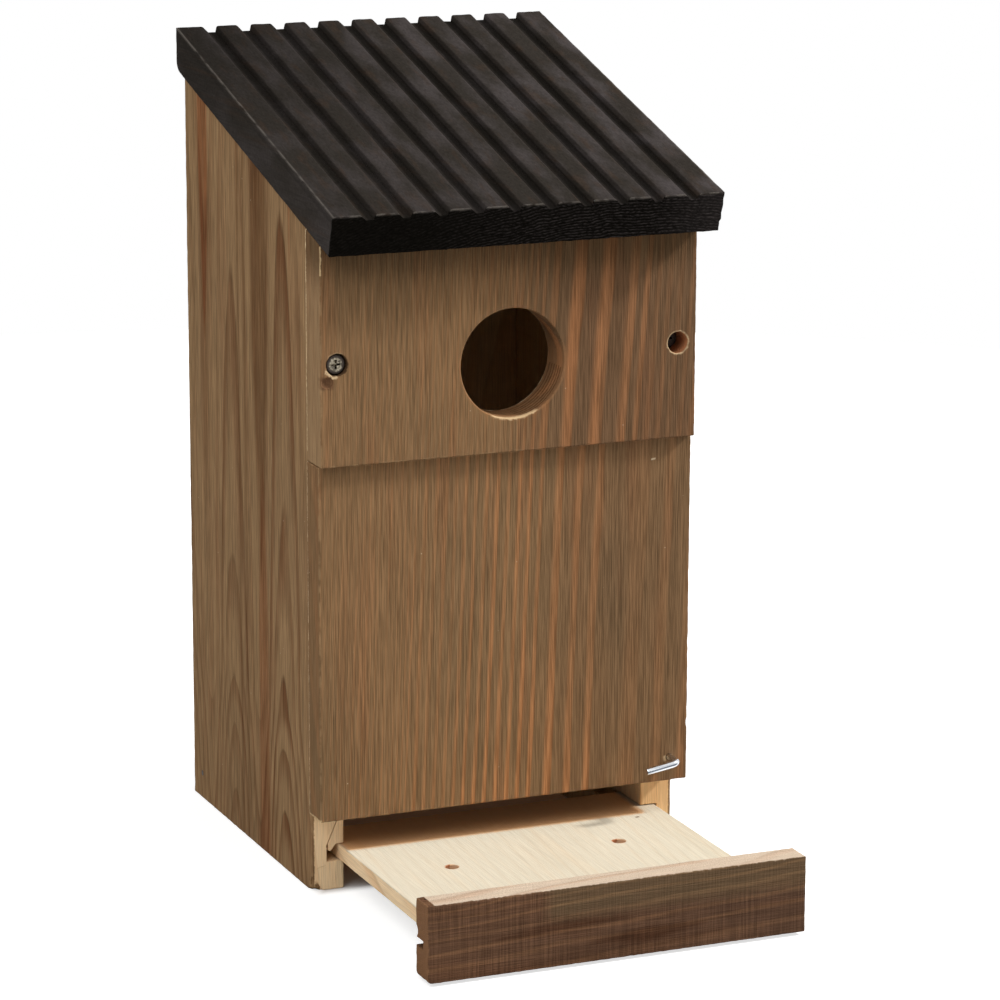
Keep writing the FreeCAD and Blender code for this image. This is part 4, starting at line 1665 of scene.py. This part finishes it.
@dataclass
class Drawer:
    """The slide-out floor: a thin board tongued into a cross-grained front."""

    floor_node: str = "floor_board"
    front_node: str = "drawer_front"
    tongue: tuple[float, float] = (10.0, 12.3)
    shoulder: float = -180.5
    drains: tuple[tuple[float, float], ...] = ((-26.4, -132.6), (27.7, -129.2))
    drain_radius: float = 1.9
    floor_arris: float = 0.25
    floor_divisions: Triple = (1.6, 1.8, 1.0)
    floor_skin: tuple[float, float] = (0.16, 1.2)
    groove: tuple[float, float] = (9.9, 12.4)
    groove_bottom: float = -185.8
    corner: float = 1.5
    pin_hole: tuple[float, float] = (-54.8, -182.8)
    pin_radius: float = 0.55
    front_arris: float = 0.35
    front_divisions: Triple = (1.1, 0.9, 1.1)
    front_skin: tuple[float, float] = (0.28, 1.3)

    def build(self) -> None:
        """Builds the floor and its front."""
        self.build_floor()
        self.build_front()

    def build_floor(self) -> None:
        """Saws, tongues, drills and dresses the floor."""
        low, high = node_box(self.floor_node)
        board = Workpiece.block("floor_pale_board", (low.x, self.shoulder, low.z), high)
        board.slice(Axis.Z, self.tongue)
        board.pick_faces(lambda p, n: n.y < -FACING and self.tongue[0] < p.z < self.tongue[1])
        board.extrude((0.0, low.y - self.shoulder, 0.0))
        board.pick_arrises(lambda a, b: min(a.y, b.y) > self.shoulder - 0.1
                           and (abs(a.z - b.z) < 0.1 or a.y > self.shoulder + 0.1))
        board.bevel(self.floor_arris, 2)
        board.grid(self.floor_divisions, 0.4)
        for across, depth in self.drains:
            board.carve(Workpiece.drill((across, depth, high.z), (across, depth, low.z - 2.0),
                                        self.drain_radius, 0.2, 28))
        board.roughen(*self.floor_skin)
        board.fit(Body.DRAWER, "bare_pine", self.floor_finish(low, high), self.floor_node)

    def floor_finish(self, low: Vector, high: Vector) -> WoodFinish:
        """Gives the floor's finish: bare, and warmer round its drains and towards its rear, where warm
        bounce light in the box's shadow is painted.

        Args:
            low: the floor's lowest corner.
            high: its highest corner.

        Returns:
            The finish.
        """
        sawing = Sawing(
            Axis.Y, Axis.X, Axis.Z, middle=-135.0, reach=90.0, wander=2.0, lean=0.1, depth=0.1, seed=71.0,
            rows=((-70.0, 3.6), (-10.0, 3.2), (70.0, 4.0)), shows=((-50.0, 0.7), (50.0, 1.0)))
        # Painted shade and bounce light: a warm tint where the lower front board shades the floor's rear.
        painted_warm_shadow = Patch((low.x + 1.6, -106.3, high.z - 0.3), (44.8, high.y + 1.0, high.z + 1.0),
                       tint(252, 188, 122), 2.6, 0.8, 0.75)
        left_edge = Patch((low.x - 1.0, low.y - 1.0, low.z - 1.0),
                          (low.x + 0.1, high.y + 1.0, high.z - 0.3), BARE, 0.3, 0.2, 0.85)
        rims = (RingPatch((x - 9.0, y - 9.0, low.z - 2.0), (x + 9.0, y + 9.0, high.z + 1.0),
                          tint(214, 170, 130), 0.5, 0.4, 0.95, (x, y, 0.0), Axis.Z, 0.0, 2.1)
                for x, y in self.drains)
        walls = (RingPatch((x - 2.0, y - 9.0, low.z - 2.0), (x - 0.2, y + 9.0, high.z - 0.1),
                           tint(150, 88, 54), 0.6, 0.6, 0.95, (x, y, 0.0), Axis.Z, 0.0, 2.1)
                 for x, y in self.drains)
        speck = Patch((41.9, -110.5, high.z), (42.5, -110.3, high.z), tint(96, 66, 40), 0.7, 0.4, 0.9)
        return WoodFinish(PALE, sawing, (painted_warm_shadow, left_edge, *rims, *walls, speck), relief=0.05)

    def build_front(self) -> None:
        """Saws, grooves, wears and dresses the drawer front."""
        low, high = node_box(self.front_node)
        board = Workpiece.block("drawer_front_board", low, high)
        board.pick_arrises(lambda a, b: max(a.z, b.z) < low.z + 0.1 and max(a.x, b.x) < low.x + 0.1)
        board.bevel(self.corner, 4)
        board.pick_arrises()
        board.bevel(self.front_arris, 2)
        board.grid(self.front_divisions)
        plough = Workpiece.block("plough", (low.x - 1.0, self.groove_bottom, self.groove[0]),
                                 (high.x + 1.0, high.y + 1.0, self.groove[1]))
        plough.divide(Axis.X.unit, self.front_divisions[0])
        plough.divide(Axis.Y.unit, self.front_divisions[1])
        board.carve(plough)
        board.carve(Workpiece.drill((*self.pin_hole, high.z), (*self.pin_hole, high.z - 4.0),
                                    self.pin_radius, 0.1, 16))
        board.roughen(*self.front_skin)
        board.carve(Workpiece.pebble("chip_cutter", (low.x - 0.2, high.y + 0.4, self.groove[1] + 1.6),
                                     (1.6, 1.9, 1.9)))
        board.fit(Body.DRAWER, "umber_pine", self.front_finish(low, high), self.front_node)

    def front_finish(self, low: Vector, high: Vector) -> WoodFinish:
        """Gives the drawer front's finish: dark and sawn, with a bare top edge.

        Args:
            low: the strip's lowest corner.
            high: its highest corner.

        Returns:
            The finish.
        """
        sawing = Sawing(
            Axis.X, Axis.Z, Axis.Y, middle=6.0, reach=70.0, wander=3.6, ripple=0.3, lean=0.05, depth=0.12,
            seed=88.0, late=(0.55, 0.8), rows=((-6.0, 5.4), (8.0, 4.2), (18.0, 3.0), (32.0, 3.0)),
            shows=((0.0, 0.8), (12.0, 1.0), (24.0, 0.9)))
        bands = (
            Band(13.2, 1.4, -40.0, 6.0, HEART, 0.9, 16.0),
            Band(6.2, 2.4, -12.0, 30.0, HEART, 0.9, 20.0),
            Band(3.0, 2.0, -90.0, 40.0, HEART, 0.4, 30.0),
        )
        olive = Patch((-18.0, low.y - 1.0, 18.0), (80.0, low.y + 4.0, 30.0), OLIVE, 6.0, 1.5, 0.75)
        left_end = Patch((low.x - 1.0, low.y + 0.3, low.z - 1.0), (low.x + 0.2, high.y + 1.0, high.z + 1.0),
                         tint(142, 104, 74), 0.4, 0.4, 0.7)
        bare_top = Patch((low.x + 2.4, low.y + 0.5, high.z - 0.25),
                         (high.x + 1.0, high.y + 1.0, high.z + 1.0), PINK_EDGE, 0.4, 0.4)
        return WoodFinish(UMBER, sawing, (olive, left_end, bare_top), bands, (tuple(low), tuple(high)),
                          tint(126, 98, 76), 0.4, saw_marks=0.28, relief=0.16)


@dataclass
class LatchHook:
    """The wire hook that keeps the drawer shut when its arm is turned down."""

    node: str = "latch_hook"
    corner: Triple = (52.4, -116.9, 31.0)
    tip: float = 10.5
    bend: float = 2.2
    drop: float = 9.0
    radius: float = 1.0
    point: float = 0.7
    taper: float = 3.0

    def build(self) -> None:
        """Bends, trims and dresses the wire."""
        _, high = node_box(self.node)
        root = Vector((self.corner[0], high.y, self.corner[2]))
        down = math.radians(self.drop)
        arm = Vector((-math.cos(down), 0.0, -math.sin(down)))
        clear_bench()
        bpy.ops.mesh.primitive_circle_add(vertices=28, radius=self.radius * MM, fill_type="NGON",
                                          location=root * MM, rotation=(math.pi / 2, 0.0, 0.0))
        wire = Workpiece("latch_hook_wire")
        wire.edit()
        bpy.ops.mesh.select_all(action="SELECT")
        wire.resize(self.point, root)
        wire.extrude((0.0, -self.taper, 0.0))
        wire.resize(1.0 / self.point, root + Vector((0.0, -self.taper, 0.0)))
        turn = Vector((self.corner[0], self.corner[1] + self.bend, self.corner[2]))
        wire.extrude((0.0, turn.y - root.y + self.taper, 0.0))
        bpy.ops.mesh.spin(steps=10, angle=-math.pi / 2, center=(turn + arm * self.bend) * MM,
                          axis=Vector((0.0, -1.0, 0.0)).cross(arm))
        wire.extrude(arm * (self.tip - self.bend))
        wire.tidy_mesh()
        wire.pick_arrises()
        wire.bevel(0.12, 2)
        # The line is a painted dark reflection along the front of the arm.
        above = Vector((-math.sin(down), 0.0, math.cos(down)))
        wire.fit(Body.HOOK, "bright_zinc",
                 MetalFinish(tint(232, 234, 236), tint(196, 201, 208), 0.12, 0.22, tint(92, 84, 74), 0.1,
                             drawn=True, line=(Vector(self.corner), above, 0.34)),
                 self.node)


@dataclass
class Fixings:
    """The two cross-head screws and the small brads."""

    screws: tuple[Triple, ...] = ((-53.15, -111.7, 158.2), (52.4, -105.7, 156.9))
    screw_head: float = 2.9
    screw_shank: float = 1.5
    screw_length: float = 30.0
    screw_rim: float = 0.6
    screw_cone: float = 2.0
    screw_point: float = 3.5
    recess_depth: float = 1.4
    brad_radius: float = 0.6
    brad_head: float = 0.95
    brad_rim: float = 0.6
    brad_length: float = 25.0
    brad_point: float = 1.5
    side_brads: tuple[Triple, ...] = ((-3.0, 8.2, -0.06), (-3.0, 100.0, 0.3), (-3.0, 190.0, 0.3))
    panel_brads: tuple[tuple[float, float], ...] = ((-48.2, 50.0), (48.2, 50.0),
                                                    (-48.2, 123.0), (48.2, 123.0))
    drawer_brads: tuple[tuple[float, float], ...] = ((-40.0, 11.15), (1.5, 11.15), (43.0, 11.15))
    roof_brads: tuple[tuple[float, float], ...] = ((5.5, 40.0), (5.5, 80.0), (5.5, 118.0),
                                                   (113.5, 40.0), (113.5, 80.0), (113.5, 118.0))
    roof_pitch: float = 15.6
    roof_corner: tuple[float, float] = (-123.2, 189.5)
    roof_thickness: float = 12.04
    dull: MetalFinish = field(default_factory=lambda: MetalFinish(
        tint(74, 64, 54), tint(52, 43, 36), 0.5, 0.7, tint(58, 38, 26), 0.7, 0.5))
    stained: MetalFinish = field(default_factory=lambda: MetalFinish(
        tint(128, 100, 72), tint(108, 82, 57), 0.8, 0.95, tint(96, 72, 50), 0.5, 0.0))
    umber: MetalFinish = field(default_factory=lambda: MetalFinish(
        tint(90, 68, 52), tint(74, 54, 42), 0.8, 0.95, tint(62, 46, 36), 0.5, 0.0))
    painted: MetalFinish = field(default_factory=lambda: MetalFinish(
        tint(34, 31, 28), tint(28, 25, 23), 0.7, 0.85, tint(22, 20, 18), 0.5, 0.0))
    paint_film: float = 0.8
    stain_film: float = 0.3

    def build(self) -> None:
        """Turns, copies, drives and dresses the fixings."""
        self.build_screws()
        brad = self.brad()
        for hand in Hand:
            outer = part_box(f"{hand.name.lower()}_side_brads")[0 if hand is Hand.LEFT else 1].x / MM
            turn = Matrix.Rotation(-hand.value * math.pi / 2, 4, "Y")
            places = [Matrix.Translation(Vector((outer - hand.value * sunk, y, z)) * MM) @ turn
                      for y, z, sunk in self.side_brads]
            self.drive(brad, f"{hand.name.lower()}_side_brad_set", places, Body.BOX, "dull_brad", self.dull,
                       f"{hand.name.lower()}_side_brads")
        face = Matrix.Rotation(-math.pi / 2, 4, "X")
        for name, node, spots, body, stain in (
                ("lower_panel_brad_set", "lower_panel_brads", self.panel_brads, Body.BOX, self.stained),
                ("drawer_brad_set", "drawer_brads", self.drawer_brads, Body.DRAWER, self.umber)):
            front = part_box(node)[0].y + self.stain_film * MM
            places = [Matrix.Translation((x * MM, front, z * MM)) @ face for x, z in spots]
            self.drive(brad, name, places, body, "dull_brad", stain, node)
        self.drive(brad, "roof_brad_set", self.roof_places(), Body.BOX, "painted_brad", self.painted,
                   "roof_brads")
        brad.discard()

    def roof_places(self) -> list[Matrix]:
        """Gives the places of the roof's brads, square to its slope.

        Returns:
            A place for each brad.
        """
        left = node_box("roof_board")[0].x
        tilt = Matrix.Rotation(math.radians(self.roof_pitch), 4, "X")
        corner = Matrix.Translation(Vector((left, *self.roof_corner)) * MM)
        down = Matrix.Rotation(math.pi, 4, "X")
        up = self.roof_thickness - self.paint_film
        return [corner @ tilt @ Matrix.Translation(Vector((x, y, up)) * MM) @ down
                for x, y in self.roof_brads]

    def brad(self) -> Workpiece:
        """Models one brad, its head's top at the origin and its point up.

        Returns:
            The brad.
        """
        nail = Workpiece.rod("brad", (0.0, 0.0, self.brad_rim),
                             (0.0, 0.0, self.brad_length - self.brad_point), self.brad_radius, 14)
        nail.pick_faces(lambda p, n: n.z > FACING)
        nail.extrude((0.0, 0.0, self.brad_point))
        nail.resize(0.15, (0.0, 0.0, self.brad_length))
        nail.pick_faces(lambda p, n: n.z < -FACING)
        nail.extrude((0.0, 0.0, 0.0))
        nail.resize(self.brad_head / self.brad_radius, (0.0, 0.0, self.brad_rim))
        nail.extrude((0.0, 0.0, -self.brad_rim))
        nail.pick_edges(lambda a, b: abs(a.z) < 0.01 and abs(b.z) < 0.01)
        nail.bevel(0.18, 2)
        return nail

    def drive(self, brad: Workpiece, name: str, places: Sequence[Matrix], body: Body, slot: str,
              finish: Finish, node: str) -> None:
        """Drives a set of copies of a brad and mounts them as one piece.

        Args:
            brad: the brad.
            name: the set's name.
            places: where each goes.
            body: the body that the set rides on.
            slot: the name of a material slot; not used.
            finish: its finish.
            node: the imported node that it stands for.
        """
        copies = [brad.copy(f"{name}_{index}", place) for index, place in enumerate(places)]
        copies[0].join(copies[1:])
        copies[0].obj.name = name
        copies[0].fit(body, slot, finish, node)

    def build_screws(self) -> None:
        """Turns the screws, cuts their crosses and mounts them."""
        made = [self.screw(f"panel_screw_{index}", place) for index, place in enumerate(self.screws)]
        made[0].join(made[1:])
        made[0].obj.name = "upper_panel_screw_pair"
        x, y, z = self.screws[0]
        # Painted shade: outside this disc the screw head is dark, as the counterbore's shade round it.
        bright = RingPatch((x - 9.0, y - 1.0, z - 9.0), (x + 9.0, y + 2.0, z + 9.0), PAINTED_RECESS_SHADE, 0.6, 0.4, 1.0,
                           (x, y, z), Axis.Y, 0.0, 2.0)
        made[0].fit(Body.BOX, "zinc_screw",
                    MetalFinish(tint(150, 142, 125), tint(84, 76, 62), 0.24, 0.42, tint(46, 34, 25), 0.7,
                                unshaded_disc=bright),
                    "upper_panel_screws")

    def screw(self, name: str, top: Triple) -> Workpiece:
        """Models one countersunk screw with a cross recess.

        Args:
            name: the screw's name.
            top: the middle of its head's face.

        Returns:
            The screw.
        """
        face = Vector(top)
        neck = self.screw_rim + self.screw_cone
        screw = Workpiece.rod(name, face, face + Vector((0.0, self.screw_rim, 0.0)), self.screw_head, 40)
        screw.pick_faces(lambda p, n: n.y > FACING)
        screw.extrude((0.0, self.screw_cone, 0.0))
        screw.resize(self.screw_shank / self.screw_head, face + Vector((0.0, neck, 0.0)))
        screw.extrude((0.0, self.screw_length - neck - self.screw_point, 0.0))
        screw.extrude((0.0, self.screw_point, 0.0))
        screw.resize(0.1, face + Vector((0.0, self.screw_length, 0.0)))
        screw.pick_edges(lambda a, b: abs(a.y - face.y) < 0.01 and abs(b.y - face.y) < 0.01)
        screw.bevel(0.7, 3)
        for half in ((1.7, 0.4), (0.4, 1.7)):
            recess = Workpiece.block("recess_cutter", face - Vector((half[0], 1.0, half[1])),
                                     face + Vector((half[0], self.recess_depth, half[1])))
            recess.pick_faces(lambda p, n: n.y > FACING)
            recess.resize(0.55, face + Vector((0.0, self.recess_depth, 0.0)))
            screw.carve(recess)
        return screw


@dataclass(frozen=True)
class Lamp:
    """A square lamp that faces the box, in metres and watts."""

    name: str
    place: Triple
    side: float
    power: float
    aim: Triple = (0.0, -0.08, 0.1)

    def hang(self) -> None:
        """Hangs the lamp in its place."""
        clear_bench()
        facing = (Vector(self.aim) - Vector(self.place)).to_track_quat("-Z", "Y")
        bpy.ops.object.light_add(type="AREA", location=self.place, rotation=facing.to_euler())
        light = bpy.context.object
        light.name = self.name
        light.data.size = self.side
        light.data.energy = self.power


@dataclass
class Studio:
    """A pale floor, soft lamps and the camera."""

    eye: Triple = (-450.39, -1170.14, 387.66)
    azimuth: float = -0.3999
    elevation: float = 0.2332
    roll: float = 0.0033
    lens: float = 147.99
    sensor: float = 36.0
    nearest: float = 50.0
    ambient: float = 0.24
    floor_shade: float = 0.6
    floor_lift: float = 0.67
    floor_radius: float = 750.0
    footprint_middle: float = -48.0
    footprint_half: float = 52.0
    footprint_soft: float = 6.0
    # Painted bounce light: the faint warm glow of the floor under the box.
    under_glow: Colour = (0.023, 0.0095, 0.0045, 1.0)
    lamps: tuple[Lamp, ...] = (
        Lamp("key_lamp", (1.54, -0.48, 1.3), 0.24, 48.0),
        Lamp("soft_lamp", (-1.12, -0.79, 1.56), 1.4, 24.0),
        Lamp("front_fill", (0.25, -1.65, 0.3), 0.5, 1.9),
    )

    def build(self) -> None:
        """Sets up the whole studio."""
        bpy.context.scene.view_settings.view_transform = "Standard"
        self.build_world()
        self.build_floor()
        for lamp in self.lamps:
            lamp.hang()
        self.build_camera()

    def seen(self, sheet: NodeSheet) -> Value:
        """Gives 1 where a ray comes from the camera, a reflection or glass.

        Args:
            sheet: the node sheet.

        Returns:
            The mask.
        """
        rays = sheet.node("ShaderNodeLightPath", output="Is Camera Ray").socket.node
        camera, gloss, clear = (Value(sheet, rays.outputs[name]) for name in (
            "Is Camera Ray", "Is Glossy Ray", "Is Transmission Ray"))
        return (camera + gloss + clear).least(1.0)

    def build_world(self) -> None:
        """Makes a world that is white to look at and soft as a light."""
        world = bpy.data.worlds.new("studio_world")
        bpy.context.scene.world = world
        world.use_nodes = True
        sheet = NodeSheet(world.node_tree)
        fill = sheet.node("ShaderNodeBackground", sockets={
            "Color": (1.0, 1.0, 1.0, 1.0), "Strength": self.ambient})
        white = sheet.node("ShaderNodeBackground", sockets={"Color": (1.0, 1.0, 1.0, 1.0), "Strength": 1.0})
        mixed = sheet.node("ShaderNodeMixShader", sockets={0: self.seen(sheet), 1: fill, 2: white})
        sheet.node("ShaderNodeOutputWorld", sockets={"Surface": mixed})

    def build_floor(self) -> None:
        """Lays the pale floor, which keeps the box's soft shadow."""
        clear_bench()
        bpy.ops.mesh.primitive_circle_add(vertices=96, radius=self.floor_radius * MM, fill_type="NGON",
                                          location=(0.0, 0.0, 0.0))
        ground = bpy.context.object
        ground.name = "studio_floor"
        material = bpy.data.materials.new("studio_floor_finish")
        material.use_nodes = True
        sheet = NodeSheet(material.node_tree)
        shade = sheet.node("ShaderNodeBsdfDiffuse", sockets={
            "Color": (self.floor_shade, self.floor_shade, self.floor_shade, 1.0)})
        lift = sheet.node("ShaderNodeEmission", sockets={
            "Color": (1.0, 1.0, 1.0, 1.0), "Strength": self.floor_lift})
        lifted = sheet.node("ShaderNodeAddShader", sockets={0: shade, 1: lift})
        # Painted bounce light: under the box the floor glows a faint warm colour to the camera.
        glow = sheet.node("ShaderNodeEmission", sockets={"Color": self.under_glow, "Strength": 1.0})
        warmed = sheet.node("ShaderNodeAddShader", sockets={0: shade, 1: glow})
        seen = self.seen(sheet)
        under = sheet.node("ShaderNodeMixShader", sockets={0: seen, 1: shade, 2: warmed})
        x, y, _ = sheet.axes(sheet.place())
        beyond = x.size().most((y - self.footprint_middle).size()) - self.footprint_half
        outside = beyond.ease(0.0, self.footprint_soft)
        mixed = sheet.node("ShaderNodeMixShader", sockets={0: seen * outside, 1: under, 2: lifted})
        sheet.node("ShaderNodeOutputMaterial", sockets={"Surface": mixed})
        ground.data.materials.append(material)

    def build_camera(self) -> None:
        """Sets up the camera."""
        back = Vector((math.sin(self.azimuth) * math.cos(self.elevation),
                       -math.cos(self.azimuth) * math.cos(self.elevation), math.sin(self.elevation)))
        right = (-back).cross(Vector((0.0, 0.0, 1.0))).normalized()
        up = right.cross(-back)
        rolled = math.cos(self.roll) * right + math.sin(self.roll) * up
        upright = math.cos(self.roll) * up - math.sin(self.roll) * right
        clear_bench()
        bpy.ops.object.camera_add(location=Vector(self.eye) * MM)
        camera = bpy.context.object
        camera.name = "studio_camera"
        turn = Matrix((rolled, upright, back)).transposed()
        camera.matrix_world = Matrix.Translation(Vector(self.eye) * MM) @ turn.to_4x4()
        camera.data.sensor_width = self.sensor
        camera.data.lens = self.lens
        camera.data.clip_start = self.nearest * MM
        bpy.context.scene.camera = camera


def main() -> None:
    """Builds the nest box around its frame and sets up the studio."""
    logging.basicConfig(level=logging.INFO, format="%(message)s")
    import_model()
    for hand in Hand:
        SideBoard(hand).build()
    BackBoard().build()
    UpperFront().build()
    LowerFront().build()
    RibbedRoof().build()
    Drawer().build()
    LatchHook().build()
    Fixings().build()
    Studio().build()
    clear_bench()


if __name__ == "__main__":
    main()
